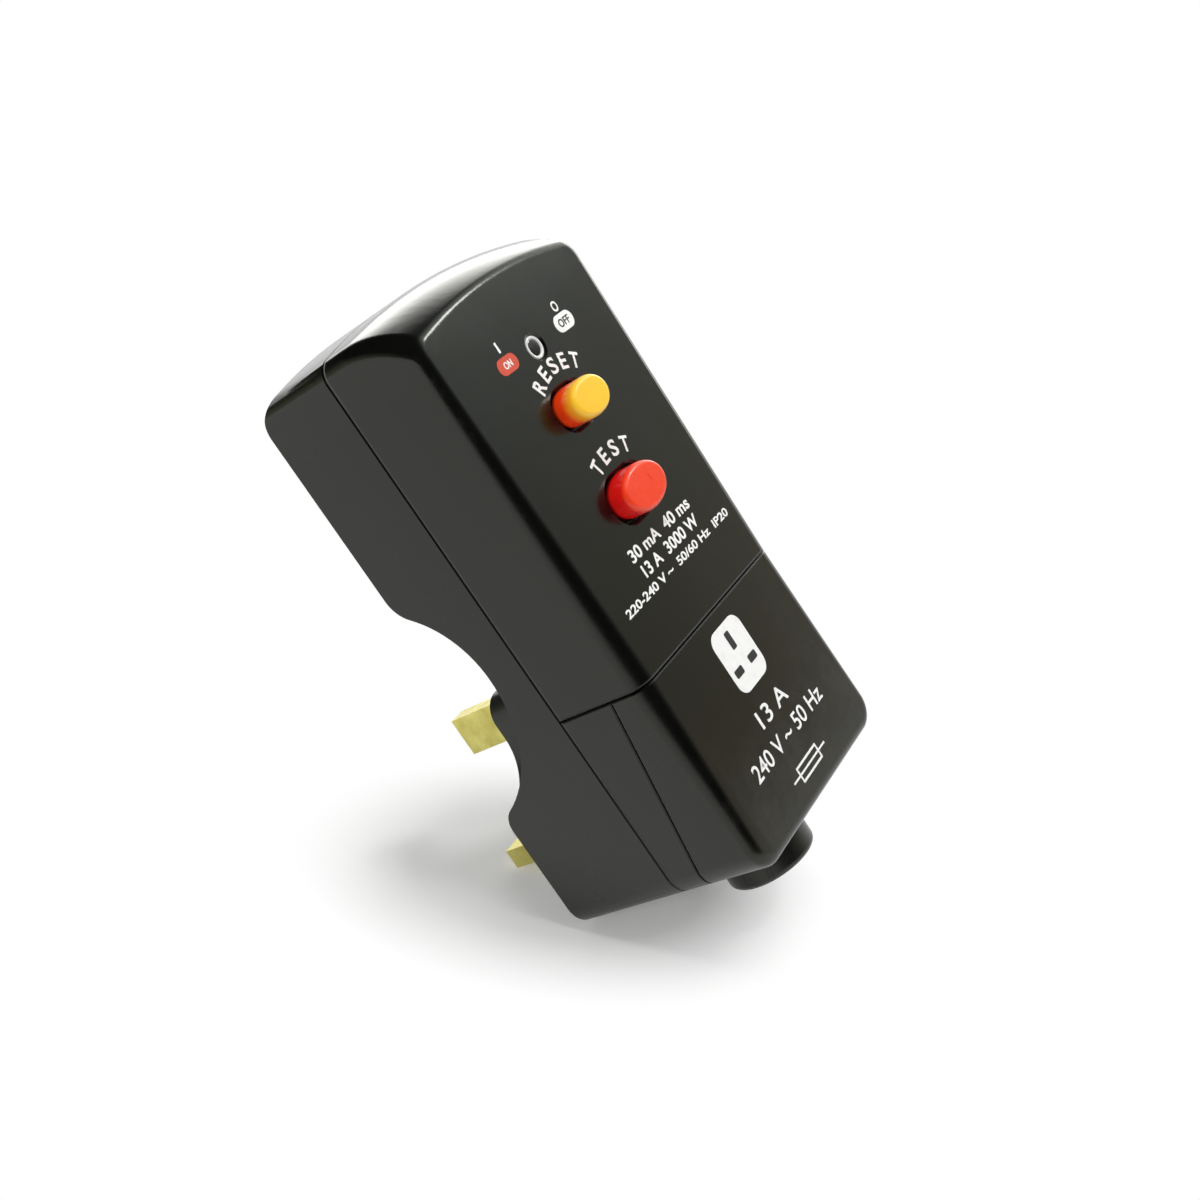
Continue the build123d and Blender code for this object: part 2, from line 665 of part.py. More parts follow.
def ring_z(x, y, outer, inner, low, high):
    """A tube along Z."""
    return round_z(x, y, outer, low, high) - round_z(x, y, inner, low - OVERRUN, high + OVERRUN)


def bent_strap(points, x):
    """A flat strap with rounded bends, whose route is drawn in Y and Z."""
    route = FilletPolyline(points, radius=STRAP_BEND_R)
    return strip(trace(route, STRAP_T), x - STRAP_WIDE / 2, x + STRAP_WIDE / 2)


def screw(x, z, seat, length, way):
    """A slotted screw along Y, its head on the rear side for way 1 and the front side for way -1."""
    ends = sorted([seat, seat + way * HEAD_T])
    head = round_y(x, z, HEAD_R, ends[1], ends[0])
    rim = head.edges().filter_by(GeomType.CIRCLE).sort_by(Axis.Y)[-1 if way > 0 else 0]
    head = fillet(rim, HEAD_EDGE_R)
    shank_ends = sorted([seat, seat - way * length])
    shank = round_y(x, z, SHANK_R, shank_ends[1], shank_ends[0])
    slot_ends = sorted([seat + way * HEAD_T + way * SLOT_T, seat + way * (HEAD_T - SLOT_DEPTH)])
    slot = block(x - HEAD_R, x + HEAD_R, slot_ends[0], slot_ends[1], z - SLOT_T / 2, z + SLOT_T / 2)
    return head + shank - slot


def shank_hole(x, z, rear, front):
    """The clearance hole for a screw's shank."""
    return round_y(x, z, SHANK_R + SHANK_GAP, rear, front)


CASE_SCREWS = [(-CASE_SCREW_X, CASE_SCREW_Z), (CASE_SCREW_X, CASE_SCREW_Z), (0, SPINE_SCREW_Z)]
COVER_SCREWS = [(-COVER_SCREW_X, COVER_SCREW_Z), (COVER_SCREW_X, COVER_SCREW_Z)]
CHASSIS_SCREWS = [(0, CHASSIS_SCREW_TOP_Z), (0, CHASSIS_SCREW_LOW_Z)]
STANDOFF_PLACES = [(STANDOFF_LOW_X, STANDOFF_LOW_Z), (STANDOFF_HIGH_X, STANDOFF_HIGH_Z)]
STANDOFFS = [(side * x, z) for side in (-1, 1) for x, z in STANDOFF_PLACES]
CONTACTS = [(side * CONTACT_X, RESET_Z + step * CONTACT_SPREAD) for side in (-1, 1) for step in (-1, 1)]


def bay_block(grow, rear, front):
    """The fuse bay seen from the rear, grown all round."""
    low = FUSE_Z - BAY_TALL / 2 - grow
    return room(BAY_HALF + grow, low, FUSE_Z + BAY_TALL / 2 + grow, rear, front)


def base_rooms():
    """The hollow of the rear base, which follows the scoops, the spine and the pad."""
    front = PARTING_Y - OVERRUN
    upper = slab(outline(WALL), REAR_INNER_Y, front) & bowed_end(WALL, 0)
    upper &= room(HALF_WIDTH, UPPER_ROOM_Z, TALL_Z, 0, front - OVERRUN)
    low = FLOOR_Z
    shallow = room(ROOM_HALF, low, UPPER_ROOM_Z, SCOOP_INNER_Y, front)
    heel = room(ROOM_HALF, low, HEEL_STEP_Z, HEEL_STEP_Y, front)
    spine = room(SPINE_ROOM_HALF, low, UPPER_ROOM_Z, REAR_INNER_Y, front)
    pad = room(SPINE_ROOM_HALF, low, PAD_ROOM_TOP_Z, FLOOR_Y, front)
    foot = room(ROOM_HALF, low, HEEL_ROOM_TOP_Z, FLOOR_Y, front)
    return joined([upper, shallow, heel, spine, pad, foot])


def base_posts():
    """The screw posts of the rear base, thicker round the heads' recesses."""
    posts = []
    post_end = PARTING_Y + POST_END_GAP
    for x, z in CASE_SCREWS:
        posts.append(round_y(x, z, BASE_POST_R, REAR_INNER_Y + POST_ROOT, SET_BACK_Y - 2 * RECESS_DEPTH))
        posts.append(round_y(x, z, POST_R, SET_BACK_Y - RECESS_DEPTH, post_end))
    for x, z in COVER_SCREWS:
        posts.append(round_y(x, z, BASE_POST_R, FLOOR_Y + POST_ROOT, -2 * RECESS_DEPTH))
        posts.append(round_y(x, z, POST_R, -RECESS_DEPTH, post_end))
    for x, z in CHASSIS_SCREWS:
        posts.append(round_y(x, z, BASE_POST_R, REAR_INNER_Y + POST_ROOT, SET_BACK_Y - 2 * RECESS_DEPTH))
        posts.append(round_y(x, z, POST_R, SET_BACK_Y - RECESS_DEPTH, CHASSIS_SEAT_Y))
    return posts


def base_screw_holes():
    """The recesses and shank holes in the rear base."""
    holes = []
    for face, places in ((SET_BACK_Y, CASE_SCREWS + CHASSIS_SCREWS), (0, COVER_SCREWS)):
        for x, z in places:
            holes.append(round_y(x, z, HEAD_R + HEAD_GAP, face + OVERRUN, face - RECESS_DEPTH))
            holes.append(shank_hole(x, z, face, PARTING_Y - OVERRUN))
    return holes


def carriage_guides():
    """Ribs beside the contact carriage and the posts that stop it."""
    inner = CARRIAGE_HALF + GUIDE_RIB_GAP
    low = RESET_Z - GUIDE_RIB_TALL / 2
    rear = REAR_INNER_Y + POST_ROOT
    rib = block(inner, inner + GUIDE_RIB_T, rear, -GUIDE_RIB_DEPTH, low, low + GUIDE_RIB_TALL)
    stop_end = CARRIAGE_REAR_Y + CARRIAGE_STOP_GAP
    stop = round_y(CARRIAGE_STOP_X, RESET_Z, CARRIAGE_STOP_R, rear, stop_end)
    return both_sides(rib) + both_sides(stop)


def tail_slots():
    """The slots that the two fuse clips' tails pass through."""
    grow = TAIL_GAP
    half = TAIL_WIDE / 2 + grow
    tall = TAIL_TALL / 2 + grow
    bay_low = FUSE_Z - BAY_TALL / 2
    down = block(-half, half, FUSE_Y - tall, FUSE_Y + tall, bay_low - BAY_WALL - grow, bay_low + grow)
    ahead = block(-half, half, grow - BAY_DEPTH, BAY_FRONT_Y - grow, FUSE_Z - tall, FUSE_Z + tall)
    return Pos(CLIP_X, 0, 0) * down + Pos(-CLIP_X, 0, 0) * ahead


def gland_hole(radius):
    """The hole through the bottom wall round the cord gland's neck."""
    return round_z(0, PARTING_Y, radius, BOTTOM_Z - OVERRUN, FLOOR_Z + OVERRUN)


def rear_base():
    """The rear moulding with the spine, finger scoops, mating pad and fuse bay."""
    half = HALF_WIDTH + OVERRUN
    body = FORM & room(half, BOTTOM_Z - OVERRUN, TALL_Z, OVERRUN, PARTING_Y + PARTING_GAP)
    hollow = base_rooms() - bay_block(BAY_WALL, OVERRUN, BAY_FRONT_Y)
    ridge_front = PARTING_Y + CORD_HOLE_R + RIDGE_GAP
    ridge = room(RIDGE_HALF, CLAMP_Z - RIDGE_T / 2, CLAMP_Z + RIDGE_T / 2, FLOOR_Y + POST_ROOT, ridge_front)
    body = body - hollow + joined(base_posts()) + carriage_guides() + ridge
    cuts = base_screw_holes() + [bay_block(0, OVERRUN, -BAY_DEPTH), tail_slots()]
    cuts.append(gland_hole(GLAND_NECK_R + GLAND_GAP))
    low_slot = Rectangle(PIN_WIDE + 2 * PIN_SLOT_GAP, PIN_THICK + 2 * PIN_SLOT_GAP)
    earth_slot = Rectangle(EARTH_WIDE + 2 * PIN_SLOT_GAP, EARTH_TALL + 2 * PIN_SLOT_GAP)
    pocket = Rectangle(PIN_HEAD_WIDE + 2 * PIN_SLOT_GAP, PIN_HEAD_TALL + 2 * PIN_SLOT_GAP)
    for x in (-HALF_SPACING, HALF_SPACING):
        cuts.append(slab(Pos(x, 0) * low_slot, OVERRUN, FLOOR_Y - SEAM_GAP))
        cuts.append(slab(Pos(x, 0) * pocket, FLOOR_Y, FLOOR_Y - PIN_HEAD_DEPTH - STRAP_T))
    cuts.append(slab(Pos(0, EARTH_Z) * earth_slot, OVERRUN, FLOOR_Y - SEAM_GAP))
    return body - joined(cuts)


def skirt_face(shift):
    """What lies behind the skirt line, drawn in Y and Z."""
    lean = (SKIRT_TOP_DEPTH - SKIRT_BOTTOM_DEPTH) / (SEAM_Z - BOTTOM_Z)
    high = SEAM_Z + OVERRUN
    low = BOTTOM_Z - OVERRUN
    high_y = -SKIRT_TOP_DEPTH - lean * OVERRUN - shift
    low_y = -SKIRT_BOTTOM_DEPTH + lean * OVERRUN - shift
    return Polygon((OVERRUN, low), (OVERRUN, high), (high_y, high), (low_y, low), align=None)


def chassis_holes():
    """Every opening through the deck."""
    rear = PARTING_Y + OVERRUN
    front = DECK_FRONT_Y - OVERRUN
    holes = [shank_hole(x, z, rear, front) for x, z in CASE_SCREWS + COVER_SCREWS]
    holes.append(round_y(0, RESET_Z, STEM_R + HOLE_GAP, rear, front))
    holes.append(round_y(0, PUSHER_Z, PUSHER_R + HOLE_GAP, rear, front))
    holes.append(round_y(HOOK_X, HOOK_Z, HOOK_R + HOLE_GAP, rear, front))
    strap = Rectangle(STRAP_WIDE + 2 * STRAP_SLOT_GAP, STRAP_T + 2 * STRAP_SLOT_GAP)
    holes.append(slab(Pos(0, EARTH_STRAP_Z) * strap, rear, front))
    low = OUTGOING_Z - STRAP_T / 2 - STRAP_BEND_R
    high = OUTGOING_Z + STRAP_T / 2 + STRAP_SLOT_GAP
    slot_half = STRAP_WIDE / 2 + STRAP_SLOT_GAP
    holes.append(both_sides(block(CONTACT_X - slot_half, CONTACT_X + slot_half, rear, front, low, high)))
    holes.append(room(CORD_NOTCH_HALF, FLOOR_Z, CORD_NOTCH_Z, rear, front))
    flange_top = FLOOR_Z + GLAND_FLANGE_T + 2 * GLAND_SEAT_GAP
    holes.append(round_z(0, PARTING_Y, GLAND_FLANGE_R + GLAND_SEAT_GAP, FLOOR_Z, flange_top))
    return holes


def inner_chassis():
    """The deck that carries the works, with the wedge-shaped lower flanks."""
    half = HALF_WIDTH + OVERRUN
    body = FORM & strip(skirt_face(0), -half, half)
    body &= room(half, BOTTOM_Z - OVERRUN, LOWER_TOP_Z, PARTING_Y, FRONT_Y - OVERRUN)
    lower_hollow = room(ROOM_HALF, FLOOR_Z, LOWER_TOP_Z + OVERRUN, DECK_FRONT_Y, FRONT_Y - OVERRUN)
    deck = room(ROOM_HALF - DECK_GAP, LOWER_TOP_Z - POST_ROOT, DECK_TOP_Z, PARTING_Y, DECK_FRONT_Y)
    body = body - lower_hollow + deck
    for x, z in CHASSIS_SCREWS:
        body += round_y(x, z, CHASSIS_POST_R, CHASSIS_SEAT_Y - DECK_GAP, PARTING_Y - POST_ROOT)
    root = DECK_FRONT_Y + POST_ROOT
    body += both_sides(round_y(CLAMP_SCREW_X, CLAMP_Z, CLAMP_POST_R, root, CLAMP_REAR_Y))
    for x, z in STANDOFFS:
        body += round_y(x, z, STANDOFF_R, root, BOARD_REAR_Y)
        body += round_y(x, z, PEG_R, BOARD_REAR_Y, BOARD_FRONT_Y - PEG_OVER)
    cuts = chassis_holes() + [gland_hole(GLAND_NECK_R + GLAND_GAP)]
    cuts += [shank_hole(x, z, 0, CHASSIS_SCREW_END_Y) for x, z in CHASSIS_SCREWS]
    for side in (-1, 1):
        cuts.append(shank_hole(side * CLAMP_SCREW_X, CLAMP_Z, PARTING_Y + OVERRUN, CLAMP_REAR_Y - OVERRUN))
    return body - joined(cuts)


def button_well(wide, tall, z):
    """The hole for a button, bevelled at its mouth, and its guide rim inside."""
    hole = slab(stadium(wide, tall, 0, z, BUTTON_GAP), PARTING_Y, FRONT_Y - OVERRUN)
    bevel_top = stadium(wide, tall, 0, z, BUTTON_GAP + WELL_BEVEL)
    mouth = loft([
        Plane.XZ.offset(FRONT_DEPTH) * bevel_top,
        Plane.XZ.offset(FRONT_DEPTH - WELL_BEVEL) * stadium(wide, tall, 0, z, BUTTON_GAP),
    ])
    flange = BUTTON_FLANGE + BUTTON_GAP
    rim_end = COVER_INNER_Y + WELL_DEPTH
    rim = slab(stadium(wide, tall, 0, z, flange + WELL_WALL), rim_end, COVER_INNER_Y - POST_ROOT)
    rim -= slab(stadium(wide, tall, 0, z, flange), PARTING_Y, COVER_INNER_Y)
    return hole + mouth, rim


def upper_cover():
    """The front moulding with both buttons and the indicator window."""
    half = HALF_WIDTH + OVERRUN
    body = FORM & room(half, UPPER_LOW_Z, TALL_Z, PARTING_Y, FRONT_Y - OVERRUN)
    hollow = slab(outline(WALL), PARTING_Y + OVERRUN, COVER_INNER_Y) & bowed_end(WALL, FRONT_WALL)
    hollow &= room(half, UPPER_LOW_Z + WALL, TALL_Z, 0, FRONT_Y - OVERRUN)
    body -= hollow
    body -= room(ROOM_HALF, UPPER_LOW_Z - WALL, UPPER_LOW_Z + 2 * WALL, 0, DECK_FRONT_Y - DECK_GAP)
    for x, z in CASE_SCREWS:
        body += round_y(x, z, POST_R, DECK_FRONT_Y - POST_END_GAP, COVER_INNER_Y - POST_ROOT)
        body -= shank_hole(x, z, PARTING_Y, CASE_SCREW_END_Y)
    for wide, tall, z in ((RESET_WIDE, RESET_TALL, RESET_Z), (TEST_WIDE, TEST_TALL, TEST_Z)):
        hole, rim = button_well(wide, tall, z)
        body = body + rim - hole
    window = round_y(0, WINDOW_Z, WINDOW_R, PARTING_Y, FRONT_Y - OVERRUN)
    body -= window
    rim = [
        edge
        for edge in body.edges().filter_by(GeomType.CIRCLE)
        if abs(edge.center().Z - WINDOW_Z) < MATCH and abs(edge.center().Y - FRONT_Y) < MATCH
    ]
    body = chamfer(rim, WINDOW_BEVEL)
    half = STRAP_WIDE / 2 + STRAP_SLOT_GAP
    front = DECK_FRONT_Y - STRAP_T - STRAP_SLOT_GAP
    low = UPPER_LOW_Z - WALL
    notch = block(LINK_X - half, LINK_X + half, PARTING_Y, front, low, UPPER_LOW_Z + 2 * WALL)
    return body - both_sides(notch)


def terminal_cover():
    """The lower front moulding over the cord terminals."""
    half = HALF_WIDTH + OVERRUN
    body = FORM & room(half, BOTTOM_Z - OVERRUN, LOWER_TOP_Z, PARTING_Y, FRONT_Y - OVERRUN)
    hollow = room(half, FLOOR_Z, LOWER_TOP_Z - WALL, OVERRUN, COVER_INNER_Y)
    body -= slab(outline(WALL), OVERRUN, COVER_INNER_Y) & hollow
    body -= strip(skirt_face(SEAM_GAP), -half, half)
    for x, z in COVER_SCREWS:
        body += round_y(x, z, COVER_POST_R, DECK_FRONT_Y - POST_END_GAP, COVER_INNER_Y - POST_ROOT)
        body -= shank_hole(x, z, 0, COVER_SCREW_END_Y)
    return body


def flat_pin(x):
    """A line or neutral pin: waisted for its sleeve, with a bevelled tip and a head behind the wall."""
    section = Rectangle(PIN_WIDE, PIN_THICK)
    core = Rectangle(PIN_WIDE - 2 * SLEEVE_T, PIN_THICK - 2 * SLEEVE_T)
    tip = slab(section, PIN_LENGTH, SLEEVE_LENGTH)
    tip = chamfer(tip.faces().sort_by(Axis.Y)[-1].edges(), PIN_TIP_CHAMFER)
    shank = tip + slab(core, SLEEVE_LENGTH, -SLEEVE_INSET) + slab(section, -SLEEVE_INSET, FLOOR_Y)
    head = slab(Rectangle(PIN_HEAD_WIDE, PIN_HEAD_TALL), FLOOR_Y, FLOOR_Y - PIN_HEAD_DEPTH)
    return Pos(x, 0, 0) * (shank + head)


def earth_pin():
    """The longer earth pin, turned upright."""
    shank = slab(Rectangle(EARTH_WIDE, EARTH_TALL), EARTH_LENGTH, FLOOR_Y)
    shank = chamfer(shank.faces().sort_by(Axis.Y)[-1].edges(), PIN_TIP_CHAMFER)
    head = slab(Rectangle(EARTH_HEAD_WIDE, EARTH_HEAD_TALL), FLOOR_Y, FLOOR_Y - PIN_HEAD_DEPTH)
    return Pos(0, 0, EARTH_Z) * (shank + head)


def pin_sleeves():
    """The insulating sleeves round the roots of the two lower pins."""
    wall = Rectangle(PIN_WIDE, PIN_THICK) - Rectangle(PIN_WIDE - 2 * SLEEVE_T, PIN_THICK - 2 * SLEEVE_T)
    sleeve = slab(wall, SLEEVE_LENGTH, -SLEEVE_INSET)
    return both_sides(Pos(HALF_SPACING, 0, 0) * sleeve)


def fuse_carrier():
    """The pull-out carrier: a flush face, end walls and a cradle round the fuse's middle."""
    half = BAY_HALF - CARRIER_GAP
    tall = BAY_TALL / 2 - CARRIER_GAP
    face_front = -CARRIER_SINK - CARRIER_FACE_T
    face = room(half, FUSE_Z - tall, FUSE_Z + tall, -CARRIER_SINK, face_front)
    face = fillet(face.edges().filter_by(Axis.Y), CARRIER_CORNER_R)
    root = face_front + POST_ROOT
    low = FUSE_Z - CARRIER_END_HALF
    end = block(half - CARRIER_END_T, half, root, -CRADLE_DEPTH, low, FUSE_Z + CARRIER_END_HALF)
    cradle = room(CRADLE_HALF, FUSE_Z - CRADLE_TALL, FUSE_Z + CRADLE_TALL, root, -CRADLE_DEPTH)
    body = face + both_sides(end) + cradle
    reach = CRADLE_HALF + OVERRUN / 2
    body -= round_x(FUSE_Y, FUSE_Z, FUSE_BODY_R + CRADLE_GAP, -reach, reach)
    mouth_low = FUSE_Z - CARRIER_NOTCH_R
    body -= room(CRADLE_HALF, mouth_low, FUSE_Z + CARRIER_NOTCH_R, FUSE_Y, -CRADLE_DEPTH - OVERRUN)
    return body - slab(Pos(half, FUSE_Z) * Circle(CARRIER_NOTCH_R), OVERRUN, face_front / 2)


def fuse_tube():
    """The ceramic body of the cartridge fuse."""
    half = FUSE_LENGTH / 2 - FUSE_CAP_T
    tube = round_x(FUSE_Y, FUSE_Z, FUSE_BODY_R, -half, half)
    return tube - round_x(FUSE_Y, FUSE_Z, FUSE_BORE_R, -half - OVERRUN, half + OVERRUN)


def fuse_caps():
    """The two metal caps of the fuse."""
    end = FUSE_LENGTH / 2
    cap = round_x(FUSE_Y, FUSE_Z, FUSE_R, end - FUSE_CAP_LENGTH, end)
    cap = fillet(cap.edges().sort_by(Axis.X)[-1], FUSE_CAP_EDGE_R)
    return both_sides(cap - round_x(FUSE_Y, FUSE_Z, FUSE_BODY_R, 0, end - FUSE_CAP_T))


def fuse_clips():
    """Two spring clips in the bay, each with a tail through its wall."""
    inner = FUSE_R + CLIP_GAP
    low_y = -BAY_DEPTH
    width = CLIP_WIDE / 2
    arms = block(-width, width, -CLIP_MOUTH, low_y, FUSE_Z - inner - CLIP_T, FUSE_Z + inner + CLIP_T)
    arms -= block(-OVERRUN, OVERRUN, OVERRUN, low_y + CLIP_T, FUSE_Z - inner, FUSE_Z + inner)
    half = TAIL_WIDE / 2
    tall = TAIL_TALL / 2
    clip_low = FUSE_Z - inner - CLIP_T
    down = block(-half, half, FUSE_Y - tall, FUSE_Y + tall, PIN_HEAD_TALL / 2, clip_low)
    ahead = block(-half, half, low_y, -LINE_STRAP_DEPTH + STRAP_T, FUSE_Z - tall, FUSE_Z + tall)
    return (Pos(CLIP_X, 0, 0) * (arms + down)) + (Pos(-CLIP_X, 0, 0) * (arms + ahead))


def strap_top(x, first):
    """A strap up the spine that turns forward to the rear of the deck and up to its contact."""
    deck_y = PARTING_Y + STRAP_T / 2
    top = RESET_Z - CONTACT_SPREAD + STRAP_WIDE / 2
    level = first[-1][0]
    return bent_strap(first + [(level, STRAP_TURN_Z), (deck_y, STRAP_TURN_Z), (deck_y, top)], x)


def line_strap():
    """From the fuse's far clip across and up to the line contact."""
    level = -LINE_STRAP_DEPTH + STRAP_T / 2
    half = TAIL_WIDE / 2
    front = -LINE_STRAP_DEPTH
    bar = block(-CLIP_X - half, STRAP_X + half, front, front + STRAP_T, FUSE_Z - half, FUSE_Z + half)
    return bar + strap_top(STRAP_X, [(level, FUSE_Z)])


def neutral_strap():
    """From the neutral pin's head up to the neutral contact."""
    foot_y = FLOOR_Y - PIN_HEAD_DEPTH
    half = STRAP_WIDE / 2
    foot = block(-HALF_SPACING - half, -STRAP_X + half, foot_y - STRAP_T, foot_y, -half, half)
    level = -NEUTRAL_STRAP_DEPTH + STRAP_T / 2
    foot_mid = foot_y - STRAP_T / 2
    step_z = half + STRAP_T
    return foot + strap_top(-STRAP_X, [(foot_mid, 0), (foot_mid, step_z), (level, step_z)])


def earth_strap():
    """From the earth pin's head through the deck to the earth terminal."""
    foot_y = FLOOR_Y - PIN_HEAD_DEPTH - STRAP_T / 2
    foot_z = EARTH_STRAP_Z + EARTH_STRAP_FOOT
    points = [(foot_y, foot_z), (foot_y, EARTH_STRAP_Z), (DECK_FRONT_Y, EARTH_STRAP_Z)]
    return bent_strap(points, 0)


def terminal(x, z):
    """A brass pillar terminal with a wire hole from below and a screw hole from the front."""
    front = DECK_FRONT_Y - TERMINAL_DEEP
    half = TERMINAL_WIDE / 2
    tall = TERMINAL_TALL / 2
    body = block(x - half, x + half, DECK_FRONT_Y, front, z - tall, z + tall)
    body = fillet(body.edges().filter_by(Axis.Y), TERMINAL_EDGE_R)
    body -= round_z(x, WIRE_HOLE_Y, WIRE_HOLE_R, z - tall - OVERRUN, z + tall - TERMINAL_END_T)
    return body - round_y(x, z, TERMINAL_SCREW_R + SHANK_GAP, WIRE_HOLE_Y, front - OVERRUN)


def terminal_screws():
    """The three clamping screws of the terminals."""
    front = DECK_FRONT_Y - TERMINAL_DEEP - TERMINAL_SCREW_PROUD
    half = SLOT_T / 2
    pin = round_y(0, 0, TERMINAL_SCREW_R, front + TERMINAL_SCREW_LENGTH, front)
    pin -= room(HEAD_R, -half, half, front - SLOT_T, front + SLOT_DEPTH)
    places = ((-TERMINAL_X, TERMINAL_Z), (TERMINAL_X, TERMINAL_Z), (0, EARTH_TERMINAL_Z))
    return joined([Pos(x, 0, z) * pin for x, z in places])


def load_links():
    """Straps from the two cord terminals up in front of the deck to the board."""
    low = TERMINAL_Z - STRAP_WIDE / 2
    y = DECK_FRONT_Y - STRAP_T / 2
    end = BOARD_FRONT_Y - LEG_OVER
    points = [(y, low), (y, LINK_TOP_Z), (end, LINK_TOP_Z)]
    return both_sides(bent_strap(points, LINK_X))


def outgoing_straps():
    """Straps from the upper contacts through the deck to the board."""
    y = PARTING_Y + STRAP_T / 2
    low = RESET_Z + CONTACT_SPREAD - STRAP_WIDE / 2
    points = [(y, low), (y, OUTGOING_Z), (BOARD_FRONT_Y - LEG_OVER, OUTGOING_Z)]
    return both_sides(bent_strap(points, CONTACT_X))


def cord_gland():
    """The round cord outlet, held by its neck in the bottom walls."""
    top = BOTTOM_Z - GLAND_SEAT_GAP
    outer = round_z(0, PARTING_Y, GLAND_R, BOTTOM_Z - GLAND_LENGTH, top)
    outer = fillet(outer.edges().filter_by(GeomType.CIRCLE).sort_by(Axis.Z)[0], GLAND_EDGE_R)
    flange_low = FLOOR_Z + GLAND_SEAT_GAP
    neck = round_z(0, PARTING_Y, GLAND_NECK_R, top - GLAND_EDGE_R, flange_low + GLAND_FLANGE_T / 2)
    flange = round_z(0, PARTING_Y, GLAND_FLANGE_R, flange_low, flange_low + GLAND_FLANGE_T)
    bore = round_z(0, PARTING_Y, CORD_HOLE_R, BOTTOM_Z - GLAND_LENGTH - OVERRUN, FLOOR_Z + OVERRUN)
    return outer + neck + flange - bore


def cord_clamp_bar():
    """The bar that two screws press on the cord."""
    face = Pos(0, CLAMP_Z) * SlotOverall(2 * CLAMP_HALF, CLAMP_TALL)
    bar = slab(face, CLAMP_REAR_Y, CLAMP_REAR_Y - CLAMP_T)
    grip_y = CLAMP_REAR_Y + CLAMP_GRIP_R - CLAMP_GRIP_CUT
    bar -= round_z(0, grip_y, CLAMP_GRIP_R, BOTTOM_Z, TERMINAL_Z)
    for side in (-1, 1):
        bar -= shank_hole(side * CLAMP_SCREW_X, CLAMP_Z, PARTING_Y, FRONT_Y)
    return bar


def button(wide, tall, z, proud):
    """A stadium button with a rounded top, a stop flange and a stem's seat."""
    top = FRONT_Y - proud
    stop = COVER_INNER_Y + BUTTON_STOP_GAP
    body = slab(stadium(wide, tall, 0, z, 0), stop + BUTTON_FLANGE_T, top)
    body = fillet(body.faces().sort_by(Axis.Y)[0].edges(), BUTTON_EDGE_R)
    return body + slab(stadium(wide, tall, 0, z, BUTTON_FLANGE), stop + BUTTON_FLANGE_T, stop)


def reset_button():
    """The reset button, whose stem runs through the board, the deck and the carriage."""
    tip = -RESET_STEM_DEPTH
    stem = round_y(0, RESET_Z, STEM_R, tip - STEM_NOSE_LENGTH, FLANGE_REAR_Y)
    nose = round_y(0, RESET_Z, STEM_NOSE_R, tip, FLANGE_REAR_Y)
    return button(RESET_WIDE, RESET_TALL, RESET_Z, RESET_PROUD) + stem + nose


def test_button():
    """The test button, whose short stem pushes the test leaf."""
    stem_end = LEAF_Y - LEAF_T / 2 - LEAF_GAP
    stem = round_y(0, TEST_Z, STEM_R, stem_end, FLANGE_REAR_Y)
    stem = fillet(stem.edges().filter_by(GeomType.CIRCLE).sort_by(Axis.Y)[-1], STEM_NOSE_R)
    return button(TEST_WIDE, TEST_TALL, TEST_Z, TEST_PROUD) + stem


def window_lens():
    """The clear lens, set back in its hole and held by a lip inside."""
    outer_y = FRONT_Y + WINDOW_RECESS
    lens = round_y(0, WINDOW_Z, WINDOW_R - WINDOW_GAP, COVER_INNER_Y, outer_y)
    return lens + round_y(0, WINDOW_Z, WINDOW_R + WINDOW_LIP, COVER_INNER_Y + WINDOW_LIP_T, COVER_INNER_Y)


def circuit_board():
    """The printed board with holes for posts, pegs, rods and strap legs."""
    body = room(BOARD_HALF, BOARD_LOW_Z, BOARD_TOP_Z, BOARD_REAR_Y, BOARD_FRONT_Y)
    body = fillet(body.edges().filter_by(Axis.Y), BOARD_CORNER_R)
    holes = [(x, z, POST_R + HOLE_GAP) for x, z in CASE_SCREWS]
    holes += [(x, z, PEG_R + SHANK_GAP) for x, z in STANDOFFS]
    holes += [
        (0, RESET_Z, STEM_R + HOLE_GAP),
        (0, PUSHER_Z, PUSHER_R + HOLE_GAP),
        (HOOK_X, HOOK_Z, HOOK_R + HOLE_GAP),
    ]
    for x, z, radius in holes:
        body -= round_y(x, z, radius, PARTING_Y, FRONT_Y)
    strap = Rectangle(STRAP_WIDE + 2 * STRAP_SLOT_GAP, STRAP_T + 2 * STRAP_SLOT_GAP)
    for x, z in ((CONTACT_X, OUTGOING_Z), (LINK_X, LINK_TOP_Z)):
        body -= both_sides(slab(Pos(x, z) * strap, PARTING_Y, FRONT_Y))
    return body


def test_pad():
    """The board's contact under the test leaf."""
    return round_y(0, TEST_PAD_Z, TEST_PAD_R, BOARD_FRONT_Y, BOARD_FRONT_Y - TEST_PAD_T)


def sensing_core():
    """The ring core that senses the residual current."""
    ring = ring_y(CORE_X, CORE_Z, CORE_R, CORE_HOLE_R, CORE_REAR_Y, CORE_REAR_Y - CORE_T)
    return fillet(ring.edges().filter_by(GeomType.CIRCLE), CORE_EDGE_R)


